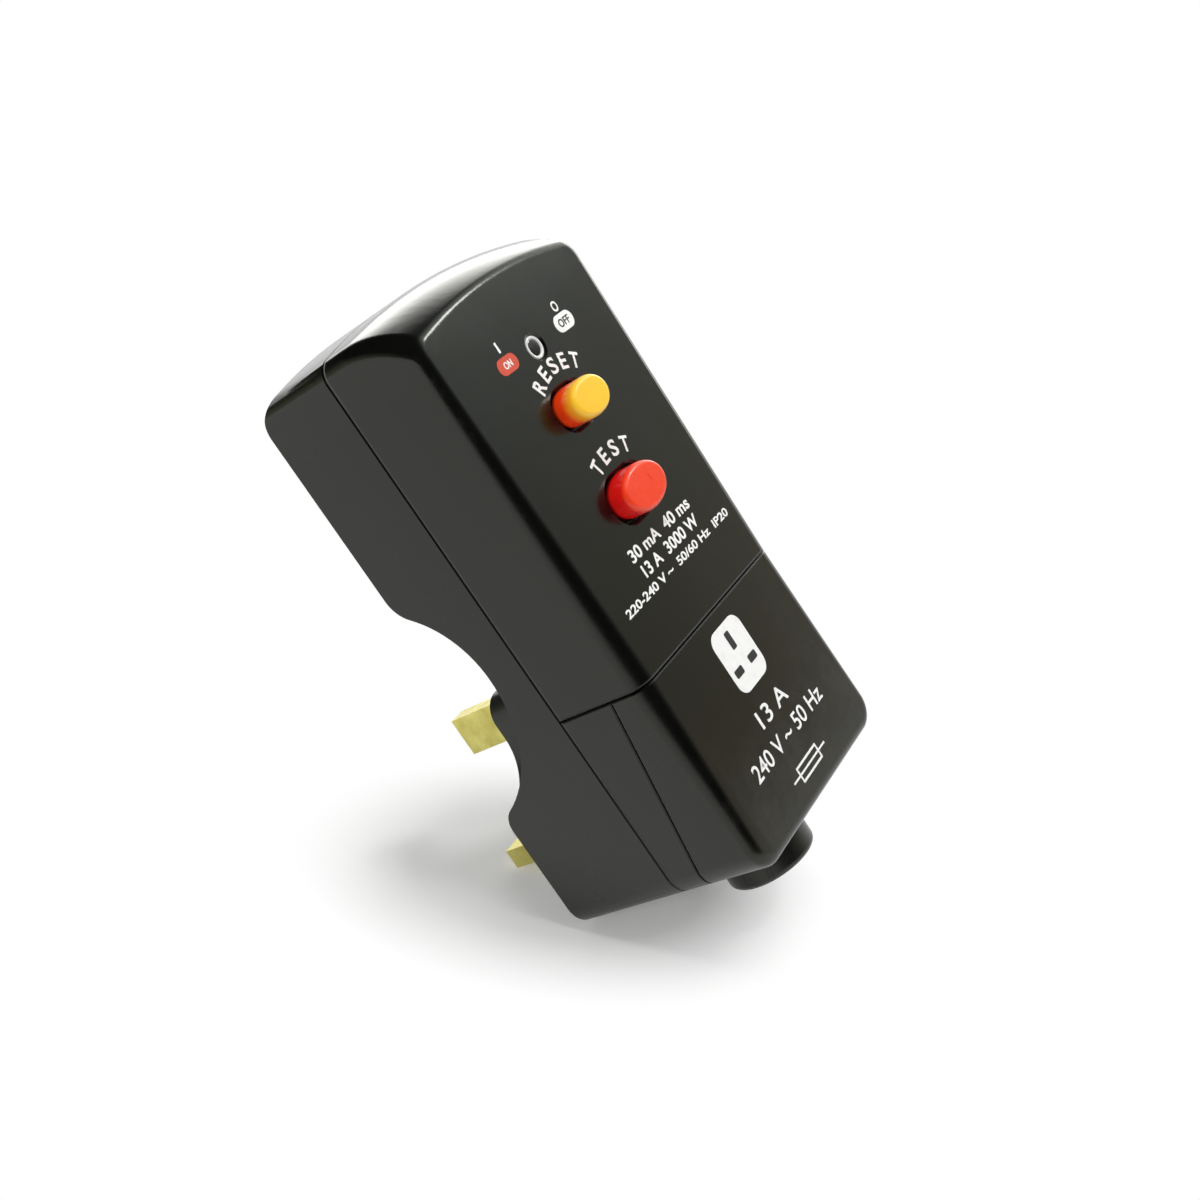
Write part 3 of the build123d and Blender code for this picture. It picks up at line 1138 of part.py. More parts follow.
def core_winding():
    """The sensing winding: a sleeve round two spans of the core, which also seat it on the board."""
    front = CORE_REAR_Y - CORE_T
    inner_r = CORE_HOLE_R - WINDING_T
    outer = ring_y(CORE_X, CORE_Z, CORE_R + WINDING_T, inner_r, BOARD_FRONT_Y, front - WINDING_T)
    outer -= ring_y(CORE_X, CORE_Z, CORE_R, CORE_HOLE_R, CORE_REAR_Y, front)
    reach = 2 * CORE_R
    rise = reach * math.tan(math.radians(WINDING_SPAN / 2))
    wedge = Polygon((0, 0), (reach, -rise), (reach, rise), align=None)
    wedges = wedge + mirror(wedge, about=Plane.YZ)
    return outer & slab(Pos(CORE_X, CORE_Z) * wedges, PARTING_Y, FRONT_Y)


def film_capacitors():
    """Box capacitors side by side on the board."""
    caps = []
    front = BOARD_FRONT_Y - CAP_DEEP
    for place in range(CAP_COUNT):
        low = CAP_Z + place * CAP_STEP - CAP_TALL / 2
        cap = block(CAP_INNER_X, CAP_INNER_X + CAP_WIDE, BOARD_FRONT_Y, front, low, low + CAP_TALL)
        caps.append(fillet(cap.faces().sort_by(Axis.Y)[0].edges(), CAP_EDGE_R))
    return joined(caps)


def varistor():
    """A disc varistor standing on its two leads."""
    y = BOARD_FRONT_Y - DISC_LIFT - DISC_R
    disc = round_z(DISC_X, y, DISC_R, DISC_Z - DISC_T / 2, DISC_Z + DISC_T / 2)
    disc = fillet(disc.edges().filter_by(GeomType.CIRCLE), DISC_EDGE_R)
    for side in (-1, 1):
        disc += round_y(DISC_X + side * LEG_PITCH, DISC_Z, LEAD_R, BOARD_FRONT_Y, y)
    return disc


def chip():
    """The control chip with a row of legs on either side."""
    rear = BOARD_FRONT_Y - CHIP_LIFT
    half = CHIP_TALL / 2
    reach = half + LEG_REACH
    body = room(CHIP_WIDE / 2, -half, half, rear, rear - CHIP_DEEP)
    body = chamfer(body.faces().sort_by(Axis.Y)[0].edges(), LEG_T / 2)
    leg = room(LEG_T / 2, -reach, reach, BOARD_FRONT_Y, rear - CHIP_DEEP / 2)
    for place in range(LEG_COUNT):
        body += Pos((place - (LEG_COUNT - 1) / 2) * LEG_PITCH, 0, 0) * leg
    body -= room(CHIP_WIDE, LEG_T - reach, reach - LEG_T, BOARD_FRONT_Y, rear)
    return Pos(CHIP_X, 0, CHIP_Z) * body


def resistors():
    """Axial resistors lying over the board on bent leads."""
    y = BOARD_FRONT_Y - RESISTOR_LIFT
    items = []
    for place in range(RESISTOR_COUNT):
        z = RESISTOR_Z + place * RESISTOR_STEP
        bead = round_x(y, z, RESISTOR_R, RESISTOR_X - RESISTOR_LENGTH / 2, RESISTOR_X + RESISTOR_LENGTH / 2)
        bead = fillet(bead.edges().filter_by(GeomType.CIRCLE), RESISTOR_EDGE_R)
        lead = round_x(y, z, LEAD_R, RESISTOR_X - LEAD_SPAN - LEAD_R, RESISTOR_X + LEAD_SPAN + LEAD_R)
        legs = [round_y(RESISTOR_X + side * LEAD_SPAN, z, LEAD_R, BOARD_FRONT_Y, y) for side in (-1, 1)]
        items.append(joined([bead, lead] + legs))
    return joined(items)


def thyristor():
    """The small switching device with one flat side."""
    deep = BOARD_FRONT_Y - DISC_LIFT
    body = round_y(SWITCH_X, SWITCH_Z, SWITCH_R, deep, deep - SWITCH_DEEP)
    flat = SWITCH_Z - SWITCH_FLAT
    body -= block(SWITCH_X - SWITCH_R, SWITCH_X + SWITCH_R, PARTING_Y, FRONT_Y, flat - SWITCH_R, flat)
    for place in (-1, 0, 1):
        x = SWITCH_X + place * LEG_PITCH / 2
        body += round_y(x, SWITCH_Z, LEAD_R, BOARD_FRONT_Y, deep - SWITCH_DEEP / 2)
    return body


def contact_carriage():
    """The sliding block behind the deck, bored for the reset stem, with a pusher and a hook rod."""
    low = RESET_Z - CARRIAGE_LOW
    face = Pos(0, low + CARRIAGE_TALL / 2) * Rectangle(2 * CARRIAGE_HALF, CARRIAGE_TALL)
    body = slab(fillet(face.vertices(), CARRIAGE_CORNER_R), CARRIAGE_REAR_Y, CARRIAGE_FRONT_Y)
    body -= round_y(0, RESET_Z, STEM_R + CARRIAGE_BORE_GAP, 0, FRONT_Y)
    tip = FLAG_Y + FLAG_ARM_T / 2 + FLAG_REST_GAP
    pusher = round_y(0, PUSHER_Z, PUSHER_R, CARRIAGE_FRONT_Y + POST_ROOT, tip)
    pusher = fillet(pusher.edges().filter_by(GeomType.CIRCLE).sort_by(Axis.Y)[0], PUSHER_NOSE_R)
    hook = round_y(HOOK_X, HOOK_Z, HOOK_R, CARRIAGE_FRONT_Y + POST_ROOT, -HOOK_DEPTH)
    groove_rear = COIL_Y + HOOK_GROOVE / 2
    groove = ring_y(HOOK_X, HOOK_Z, 2 * HOOK_R, HOOK_R / 2, groove_rear, groove_rear - HOOK_GROOVE)
    return body + pusher + (hook - groove)


def moving_contacts():
    """Two bridging contacts on the front of the carriage."""
    half = CONTACT_SPREAD + BRIDGE_END
    plate = Pos(CONTACT_X, RESET_Z) * Rectangle(BRIDGE_WIDE, 2 * half)
    bridge = slab(plate, CARRIAGE_FRONT_Y, BRIDGE_FRONT_Y)
    rivet_rear = BRIDGE_FRONT_Y + RIVET_T / 2
    for step in (-1, 1):
        z = RESET_Z + step * CONTACT_SPREAD
        bridge += round_y(CONTACT_X, z, CONTACT_R, rivet_rear, BRIDGE_FRONT_Y - RIVET_T)
    return both_sides(bridge)


def fixed_contacts():
    """Four contact rivets on the straps behind the deck."""
    rear = PARTING_Y + STRAP_T + FIXED_RIVET_T
    return joined([round_y(x, z, CONTACT_R, rear, PARTING_Y + STRAP_T) for x, z in CONTACTS])


def coil_spring(radius, length, turns):
    """A coil spring along Z from the origin, whose ends stop just short of their seats."""
    rise = length - 2 * SPRING_WIRE_R - 2 * SPRING_END_GAP
    path = Helix(rise / turns, rise, radius)
    wire = sweep(Plane(origin=path @ 0, z_dir=path % 0) * Circle(SPRING_WIRE_R), path=path)
    return Pos(0, 0, SPRING_WIRE_R + SPRING_END_GAP) * wire


def spring_y(z, radius, rear, front, turns):
    """A coil spring that runs forward along Y."""
    return Pos(0, rear, z) * Rot(FORWARD_TURN, 0, 0) * coil_spring(radius, rear - front, turns)


def reset_spring():
    """The spring under the reset button, round its stem."""
    return spring_y(RESET_Z, RESET_SPRING_R, BOARD_FRONT_Y, FLANGE_REAR_Y, RESET_SPRING_TURNS)


def carriage_spring():
    """The spring between the rear wall and the carriage."""
    return spring_y(RESET_Z, CARRIAGE_SPRING_R, REAR_INNER_Y, CARRIAGE_REAR_Y, CARRIAGE_SPRING_TURNS)


def flag_sector(outer, inner, start, span):
    """A sector of the flag's drum, its angles measured downwards from the window's direction."""
    reach = 2 * outer
    first = math.radians(start)
    last = math.radians(start + span)
    mid = math.radians(start + span / 2)
    corners = [
        (0, 0),
        (-reach * math.cos(first), -reach * math.sin(first)),
        (-reach * math.cos(mid), -reach * math.sin(mid)),
        (-reach * math.cos(last), -reach * math.sin(last)),
    ]
    ring = Circle(outer) - Circle(inner)
    return Pos(FLAG_Y, WINDOW_Z) * (ring & Polygon(*corners, align=None))


def indicator_flag():
    """The rocking flag: a hub, a spoke, the dark part of its drum and the arm that is pushed."""
    half = FLAG_HALF_WIDE
    hub = round_x(FLAG_Y, WINDOW_Z, FLAG_HUB_R, -half, half)
    under = flag_sector(FLAG_R - FLAG_T, FLAG_R - 2 * FLAG_T, -FLAG_TURN / 2, 2 * FLAG_TURN)
    dark = flag_sector(FLAG_R, FLAG_R - 2 * FLAG_T, -FLAG_TURN / 2, FLAG_TURN)
    rim = strip(under + dark, -half, half)
    spoke_end = FLAG_Y - FLAG_R + FLAG_T + FLAG_T / 2
    spoke = block(-half, half, FLAG_Y, spoke_end, WINDOW_Z - FLAG_SPOKE_T / 2, WINDOW_Z + FLAG_SPOKE_T / 2)
    arm_low = PUSHER_Z - PUSHER_R - FLAG_REST_GAP
    arm = block(-half, half, FLAG_Y - FLAG_ARM_T / 2, FLAG_Y + FLAG_ARM_T / 2, arm_low, WINDOW_Z)
    body = hub + rim + spoke + arm
    return body - round_x(FLAG_Y, WINDOW_Z, FLAG_PIN_R + FLAG_PIN_GAP, -half - OVERRUN, half + OVERRUN)


def flag_plate():
    """The coloured part of the drum, below the dark part at rest."""
    sector = flag_sector(FLAG_R, FLAG_R - FLAG_T + FLAG_PIN_GAP, FLAG_TURN / 2, FLAG_TURN)
    return strip(sector, -FLAG_HALF_WIDE, FLAG_HALF_WIDE)


def flag_bracket():
    """The bracket on the board that carries the flag's pin."""
    inner = FLAG_HALF_WIDE + BRACKET_GAP
    outer = inner + BRACKET_T
    low = WINDOW_Z - BRACKET_HALF_TALL
    high = WINDOW_Z + BRACKET_HALF_TALL
    body = room(outer, low, high, BOARD_FRONT_Y, FLAG_Y - BRACKET_OVER)
    body -= room(inner, low - OVERRUN, high + OVERRUN, BOARD_FRONT_Y - BRACKET_BASE_T, FRONT_Y)
    return body - round_x(FLAG_Y, WINDOW_Z, FLAG_PIN_R + FLAG_PIN_GAP, -OVERRUN, OVERRUN)


def flag_pin():
    """The pin that the flag rocks on."""
    outer = FLAG_HALF_WIDE + BRACKET_GAP + BRACKET_T
    return round_x(FLAG_Y, WINDOW_Z, FLAG_PIN_R, -outer, outer)


def coil_bobbin():
    """The bobbin of the trip coil."""
    tube = ring_z(COIL_X, COIL_Y, BOBBIN_R, PLUNGER_R + PLUNGER_GAP, COIL_LOW_Z, COIL_TOP_Z)
    for low in (COIL_LOW_Z, COIL_TOP_Z - BOBBIN_CHEEK):
        tube += ring_z(COIL_X, COIL_Y, COIL_R, PLUNGER_R + PLUNGER_GAP, low, low + BOBBIN_CHEEK)
    return tube


def coil_winding():
    """The winding between the bobbin's cheeks."""
    low = COIL_LOW_Z + BOBBIN_CHEEK
    return ring_z(COIL_X, COIL_Y, COIL_R - WINDING_SINK, BOBBIN_R, low, COIL_TOP_Z - BOBBIN_CHEEK)


def coil_yoke():
    """The iron frame round the coil, with the pole that the plunger is drawn to."""
    x0 = COIL_X - YOKE_HALF_WIDE
    x1 = COIL_X + YOKE_HALF_WIDE
    front = COIL_Y - YOKE_FRONT_HALF
    frame = block(x0, x1, BOARD_FRONT_Y, front, COIL_LOW_Z - YOKE_T, COIL_TOP_Z + YOKE_T)
    frame -= block(x0 - OVERRUN, x1 + OVERRUN, BOARD_FRONT_Y - YOKE_T, FRONT_Y, COIL_LOW_Z, COIL_TOP_Z)
    frame -= round_z(COIL_X, COIL_Y, PLUNGER_R + PLUNGER_GAP, COIL_TOP_Z - OVERRUN, COIL_TOP_Z + OVERRUN)
    return frame + round_z(COIL_X, COIL_Y, PLUNGER_R, COIL_LOW_Z - YOKE_T / 2, POLE_TOP_Z)


def plunger():
    """The plunger, necked for the lever's fork."""
    collar_low = PLUNGER_NECK_Z - PLUNGER_COLLAR_T
    head_low = PLUNGER_NECK_Z + PLUNGER_NECK_TALL
    body = round_z(COIL_X, COIL_Y, PLUNGER_R, PLUNGER_LOW_Z, PLUNGER_NECK_Z)
    body += round_z(COIL_X, COIL_Y, PLUNGER_COLLAR_R, collar_low, PLUNGER_NECK_Z)
    body += round_z(COIL_X, COIL_Y, PLUNGER_NECK_R, PLUNGER_NECK_Z, head_low)
    return body + round_z(COIL_X, COIL_Y, PLUNGER_HEAD_R, head_low, head_low + PLUNGER_HEAD_T)


def plunger_spring():
    """The spring between the coil's frame and the plunger's collar."""
    low = COIL_TOP_Z + YOKE_T
    high = PLUNGER_NECK_Z - PLUNGER_COLLAR_T
    return Pos(COIL_X, COIL_Y, low) * coil_spring(PLUNGER_SPRING_R, high - low, PLUNGER_SPRING_TURNS)


def latch_lever():
    """The bell-crank between the plunger's neck and the carriage's hook rod."""
    rear = COIL_Y + LEVER_DEEP / 2
    front = COIL_Y - LEVER_DEEP / 2
    hub = round_y(LEVER_X, LEVER_Z, LEVER_HUB_R, rear, front)
    tip_x = HOOK_X - HOOK_R - LEVER_TIP_GAP
    elbow = (tip_x - LEVER_T, HOOK_Z - LEVER_ELBOW)
    route = Polyline((LEVER_X, LEVER_Z), elbow, (tip_x - LEVER_T / 2, HOOK_Z))
    latch = slab(trace(route, LEVER_T), rear, front)
    slot_half = PLUNGER_NECK_R + FORK_GAP
    fork_end = COIL_X - FORK_REACH
    fork_root = COIL_X + slot_half + FORK_PRONG
    wide = slot_half + FORK_PRONG
    low = LEVER_Z - FORK_T / 2
    arm = block(fork_root, LEVER_X, rear, front, low, low + FORK_T)
    fork = block(fork_end, fork_root, COIL_Y + wide, COIL_Y - wide, low, low + FORK_T)
    slot = Pos(-OVERRUN / 2, 0) * Rectangle(OVERRUN, 2 * slot_half) + Circle(slot_half)
    slot = Pos(COIL_X, COIL_Y) * slot
    fork -= column(slot, low - OVERRUN, low + OVERRUN)
    bore = round_y(LEVER_X, LEVER_Z, LEVER_PIN_R + LEVER_PIN_GAP, PARTING_Y, FRONT_Y)
    return hub + latch + arm + fork - bore


def lever_pin():
    """The shouldered pin of the latch lever, standing on the board."""
    seat = COIL_Y + LEVER_DEEP / 2 + LEVER_SEAT_GAP
    shoulder = round_y(LEVER_X, LEVER_Z, LEVER_HUB_R, BOARD_FRONT_Y, seat)
    end = COIL_Y - LEVER_DEEP / 2 - LEVER_PIN_OVER
    return shoulder + round_y(LEVER_X, LEVER_Z, LEVER_PIN_R, BOARD_FRONT_Y, end)


def test_leaf():
    """The springy test contact, turning on its pin when the test button is pressed."""
    hub = round_x(LEAF_Y, LEAF_LOW_Z, LEAF_HUB_R, -LEAF_HALF, LEAF_HALF)
    blade = block(-LEAF_HALF, LEAF_HALF, LEAF_Y + LEAF_T / 2, LEAF_Y - LEAF_T / 2, LEAF_LOW_Z, LEAF_TOP_Z)
    return hub + blade - round_x(LEAF_Y, LEAF_LOW_Z, LEAF_PIN_R + LEAF_PIN_GAP, -OVERRUN, OVERRUN)


def leaf_bracket():
    """Two ears on the board that hold the leaf's pin."""
    inner = LEAF_HALF + BRACKET_GAP
    low = LEAF_LOW_Z - LEAF_BRACKET_HALF_TALL
    high = LEAF_LOW_Z + LEAF_BRACKET_HALF_TALL
    ear = block(inner, inner + LEAF_BRACKET_T, BOARD_FRONT_Y, LEAF_Y - LEAF_BRACKET_HALF_TALL, low, high)
    return both_sides(ear - round_x(LEAF_Y, LEAF_LOW_Z, LEAF_PIN_R + LEAF_PIN_GAP, -OVERRUN, OVERRUN))


def leaf_pin():
    """The pin of the test leaf."""
    outer = LEAF_HALF + BRACKET_GAP + LEAF_BRACKET_T
    return round_x(LEAF_Y, LEAF_LOW_Z, LEAF_PIN_R, -outer, outer)


def case_screws():
    """The three screws that hold the upper cover and the deck to the base."""
    seat = SET_BACK_Y - RECESS_DEPTH
    return joined([screw(x, z, seat, CASE_SCREW_LENGTH, 1) for x, z in CASE_SCREWS])


def cover_screws():
    """The two long screws that hold the terminal cover."""
    return joined([screw(x, z, -RECESS_DEPTH, COVER_SCREW_LENGTH, 1) for x, z in COVER_SCREWS])


def chassis_screws():
    """The two short screws that hold the chassis to the base."""
    seat = SET_BACK_Y - RECESS_DEPTH
    return joined([screw(x, z, seat, CHASSIS_SCREW_LENGTH, 1) for x, z in CHASSIS_SCREWS])


def clamp_screws():
    """The two screws of the cord clamp."""
    seat = CLAMP_REAR_Y - CLAMP_T
    return joined([screw(side * CLAMP_SCREW_X, CLAMP_Z, seat, CLAMP_SCREW_LENGTH, -1) for side in (-1, 1)])


PARTS = {
    "rear_base": rear_base,
    "inner_chassis": inner_chassis,
    "upper_cover": upper_cover,
    "terminal_cover": terminal_cover,
    "line_pin": lambda: flat_pin(HALF_SPACING),
    "neutral_pin": lambda: flat_pin(-HALF_SPACING),
    "earth_pin": earth_pin,
    "pin_sleeves": pin_sleeves,
    "fuse_carrier": fuse_carrier,
    "fuse_tube": fuse_tube,
    "fuse_caps": fuse_caps,
    "fuse_clips": fuse_clips,
    "line_strap": line_strap,
    "neutral_strap": neutral_strap,
    "earth_strap": earth_strap,
    "line_terminal": lambda: terminal(TERMINAL_X, TERMINAL_Z),
    "neutral_terminal": lambda: terminal(-TERMINAL_X, TERMINAL_Z),
    "earth_terminal": lambda: terminal(0, EARTH_TERMINAL_Z),
    "terminal_screws": terminal_screws,
    "load_links": load_links,
    "outgoing_straps": outgoing_straps,
    "cord_gland": cord_gland,
    "cord_clamp_bar": cord_clamp_bar,
    "clamp_screws": clamp_screws,
    "reset_button": reset_button,
    "reset_spring": reset_spring,
    "test_button": test_button,
    "test_leaf": test_leaf,
    "leaf_bracket": leaf_bracket,
    "leaf_pin": leaf_pin,
    "test_pad": test_pad,
    "window_lens": window_lens,
    "circuit_board": circuit_board,
    "sensing_core": sensing_core,
    "core_winding": core_winding,
    "film_capacitors": film_capacitors,
    "varistor": varistor,
    "chip": chip,
    "resistors": resistors,
    "thyristor": thyristor,
    "contact_carriage": contact_carriage,
    "moving_contacts": moving_contacts,
    "fixed_contacts": fixed_contacts,
    "carriage_spring": carriage_spring,
    "indicator_flag": indicator_flag,
    "flag_plate": flag_plate,
    "flag_bracket": flag_bracket,
    "flag_pin": flag_pin,
    "coil_bobbin": coil_bobbin,
    "coil_winding": coil_winding,
    "coil_yoke": coil_yoke,
    "plunger": plunger,
    "plunger_spring": plunger_spring,
    "latch_lever": latch_lever,
    "lever_pin": lever_pin,
    "case_screws": case_screws,
    "cover_screws": cover_screws,
    "chassis_screws": chassis_screws,
}

if __name__ == "__main__":
    os.makedirs("parts", exist_ok=True)
    for name, make in PARTS.items():
        export_step(make(), f"parts/{name}.step")
        print(name)
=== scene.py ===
import json
import math

import bpy
from mathutils import Matrix, Vector

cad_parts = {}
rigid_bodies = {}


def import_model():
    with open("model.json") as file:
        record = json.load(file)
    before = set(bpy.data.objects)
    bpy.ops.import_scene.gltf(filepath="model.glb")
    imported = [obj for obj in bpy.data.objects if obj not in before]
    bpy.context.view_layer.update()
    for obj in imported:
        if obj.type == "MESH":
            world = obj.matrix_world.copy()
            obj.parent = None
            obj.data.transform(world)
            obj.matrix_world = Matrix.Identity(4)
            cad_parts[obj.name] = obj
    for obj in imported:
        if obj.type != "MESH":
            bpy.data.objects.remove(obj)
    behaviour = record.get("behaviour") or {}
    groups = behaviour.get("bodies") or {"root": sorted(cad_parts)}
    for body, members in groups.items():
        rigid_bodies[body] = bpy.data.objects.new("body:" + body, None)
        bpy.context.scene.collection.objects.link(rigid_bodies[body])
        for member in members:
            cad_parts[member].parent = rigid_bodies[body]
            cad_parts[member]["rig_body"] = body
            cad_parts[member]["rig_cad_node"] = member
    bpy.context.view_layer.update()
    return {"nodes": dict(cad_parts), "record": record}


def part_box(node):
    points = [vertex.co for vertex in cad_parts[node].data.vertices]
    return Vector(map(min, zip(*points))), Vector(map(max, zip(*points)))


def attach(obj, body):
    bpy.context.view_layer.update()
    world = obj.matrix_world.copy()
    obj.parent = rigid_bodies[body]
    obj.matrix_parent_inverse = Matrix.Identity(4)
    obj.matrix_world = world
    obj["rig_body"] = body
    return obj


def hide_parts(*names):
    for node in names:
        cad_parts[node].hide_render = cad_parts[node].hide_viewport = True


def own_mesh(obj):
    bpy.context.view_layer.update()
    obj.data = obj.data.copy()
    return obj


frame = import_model()

bl_info = {
    "name": "Fused plug with residual-current trip",
    "version": (1, 0, 0),
    "blender": (4, 5, 0),
    "location": "3D View > Sidebar > Plug",
    "description": "Finishes, legends and the studio for a fused plug with reset and test buttons",
    "category": "Object",
}

MM = 0.001
NODES = frame["nodes"]
FRONT_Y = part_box("upper_cover")[0].y
HALF_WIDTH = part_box("upper_cover")[1].x
RESET_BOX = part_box("reset_button")
TEST_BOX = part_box("test_button")
LENS_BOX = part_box("window_lens")
SEAM_Z = (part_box("upper_cover")[0].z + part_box("terminal_cover")[1].z) / 2
PARTING_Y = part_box("upper_cover")[1].y
SKIRT_TOP_Y = -36.9 * MM
SKIRT_LEAN = 0.160
MIDDLE = Vector((0.0, -0.020, 0.040))

SMOOTH_ANGLE = 38.0
INK_SINK = 0.005 * MM
NOISE_LOW = 0.3  # a noise pattern does nearly all of its work between these two values
NOISE_HIGH = 0.7
WHITE = (1.0, 1.0, 1.0, 1.0)


class Paint:
    """A socket of a shader graph, with arithmetic that adds Math nodes."""

    def __init__(self, graph, socket):
        self.graph = graph
        self.socket = socket

    def _math(self, operation, *values):
        return self.graph.add("ShaderNodeMath", {"operation": operation}, *values)

    def __add__(self, other):
        return self._math("ADD", self, other)

    def __radd__(self, other):
        return self._math("ADD", other, self)

    def __sub__(self, other):
        return self._math("SUBTRACT", self, other)

    def __rsub__(self, other):
        return self._math("SUBTRACT", other, self)

    def __mul__(self, other):
        return self._math("MULTIPLY", self, other)

    def __rmul__(self, other):
        return self._math("MULTIPLY", other, self)

    def __abs__(self):
        return self._math("ABSOLUTE", self)

    def __pow__(self, other):
        return self._math("POWER", self, other)


class Graph:
    """The nodes of one material or world, built by short calls."""

    def __init__(self, tree, output):
        self.tree = tree
        tree.nodes.clear()
        self.output = tree.nodes.new(output)
        self.coordinates = tree.nodes.new("ShaderNodeTexCoord")
        self.place = Paint(self, self.coordinates.outputs["Object"])

    def add(self, kind, settings, *values, out=0, **named):
        """A node with its settings set first, then its inputs in order or by name."""
        node = self.tree.nodes.new(kind)
        for key, value in settings.items():
            setattr(node, key, value)
        for place, value in enumerate(values):
            self.feed(node.inputs[place], value)
        for key, value in named.items():
            self.feed(node.inputs[key.replace("_", " ").title().replace("Ior", "IOR")], value)
        return Paint(self, node.outputs[out])

    def feed(self, entry, value):
        """A link or a plain value on one input."""
        if isinstance(value, Paint):
            self.tree.links.new(value.socket, entry)
        elif value is not None:
            entry.default_value = value

    def axis(self, number):
        """The place along X, Y or Z in metres."""
        return self.add("ShaderNodeSeparateXYZ", {}, self.place, out=number)

    def noise(self, scale, detail=3.0, stretch=None, rough=0.5):
        """Plain noise between 0 and 1, with its scale in features per metre."""
        place = self.place
        if stretch:
            place = self.add("ShaderNodeMapping", {}, vector=place, scale=stretch)
        features = {"scale": scale, "detail": detail, "roughness": rough}
        return self.add("ShaderNodeTexNoise", {}, vector=place, **features)

    def spread(self, value, low, high, first, last):
        """A value spread from one number to another between two limits."""
        return self.add("ShaderNodeMapRange", {}, value, low, high, first, last)

    def follow(self, pattern, first, last):
        """A value that goes with a noise pattern from one number to another."""
        return self.spread(pattern, NOISE_LOW, NOISE_HIGH, first, last)

    def mix(self, share, first, second):
        """Two colours mixed by a share."""
        node = self.tree.nodes.new("ShaderNodeMix")
        node.data_type = "RGBA"
        self.feed(node.inputs[0], share)
        self.feed(node.inputs[6], first)
        self.feed(node.inputs[7], second)
        return Paint(self, node.outputs[2])

    def larger(self, first, second):
        """The larger of two values."""
        return self.add("ShaderNodeMath", {"operation": "MAXIMUM"}, first, second)

    def smaller(self, first, second):
        """The smaller of two values."""
        return self.add("ShaderNodeMath", {"operation": "MINIMUM"}, first, second)

    def dot(self, way, other):
        """How far one direction points along another."""
        product = {"operation": "DOT_PRODUCT"}
        return self.add("ShaderNodeVectorMath", product, way, tuple(other), out=1)

    def tinted(self, value, color):
        """A colour times a value."""
        return self.add("ShaderNodeVectorMath", {"operation": "SCALE"}, color, scale=value)

    def ray(self, kind):
        """Whether the ray is of one kind."""
        return self.add("ShaderNodeLightPath", {}, out=kind)

    def bump(self, height, distance):
        """A normal from a height between 0 and 1, whose depth is in metres."""
        return self.add("ShaderNodeBump", {}, distance=distance, height=height)

    def show(self, shader):
        """A shader on the output."""
        self.tree.links.new(shader.socket, self.output.inputs[0])

    def shine(self, **inputs):
        """A Principled shader on the output."""
        self.show(self.add("ShaderNodeBsdfPrincipled", {}, **inputs))


def finish(name):
    """A new material and its graph."""
    material = bpy.data.materials.new(name)
    material.use_nodes = True
    return material, Graph(material.node_tree, "ShaderNodeOutputMaterial")


def shade(color, factor=1.0):
    """A colour made lighter or darker, with full cover."""
    return (color[0] * factor, color[1] * factor, color[2] * factor, 1.0)


def moulded_plastic(name, color, rough, grain=0.3, coat=0.0):
    """Injection-moulded plastic: faint flow marks, a fine grain and uneven gloss."""
    material, g = finish(name)
    cloud = g.noise(90.0, 4.0)
    tone = g.mix(g.follow(cloud, 0.0, 1.0), shade(color, 0.86), shade(color, 1.12))
    gloss = g.follow(cloud, rough * 0.88, rough * 1.15)
    normal = g.bump(g.noise(2600.0, 2.0), grain * 0.04 * MM)
    g.shine(base_color=tone, roughness=gloss, normal=normal, coat_weight=coat, coat_roughness=0.06)
    return material


SEAM_CORE = 0.15 * MM
SEAM_EDGE = 0.42 * MM


def seam_share(g):
    """One on the joints between the shells, falling to zero beside them."""
    y, z = g.axis(1), g.axis(2)
    skirt = abs(y - (z - SEAM_Z) * -SKIRT_LEAN - SKIRT_TOP_Y)
    skirt += g.spread(z, SEAM_Z, SEAM_Z + MM, 0.0, MM)
    cross = abs(z - SEAM_Z) + g.spread(y, PARTING_Y, PARTING_Y + MM, 0.0, MM)
    parting = abs(y - PARTING_Y)
    near = g.smaller(g.smaller(skirt, cross), parting)
    return g.spread(near, SEAM_CORE, SEAM_EDGE, 1.0, 0.0)


SEAM_DEPTH = 0.24 * MM
PEEL_SHARE = 0.05
FRONT_BAND = (FRONT_Y + 1.6 * MM, FRONT_Y + 0.2 * MM)
# the lower front, where patches get smudged gloss and a painted brown reflection
LOWER_FRONT_Z = (12 * MM, -6 * MM)
RIM_WIDTH = 1.0 * MM
CROWN_Z = (84 * MM, 90 * MM)
CROWN_GLOSS = 0.5
# painted reflection: the room's brown as it shows low on the front
PAINTED_BROWN_REFLECTION = (0.017, 0.014, 0.009, 1.0)
WORN = (0.03, 0.03, 0.028, 1.0)
BLACK_TINT = (0.96, 1.0, 0.88, 1.0)


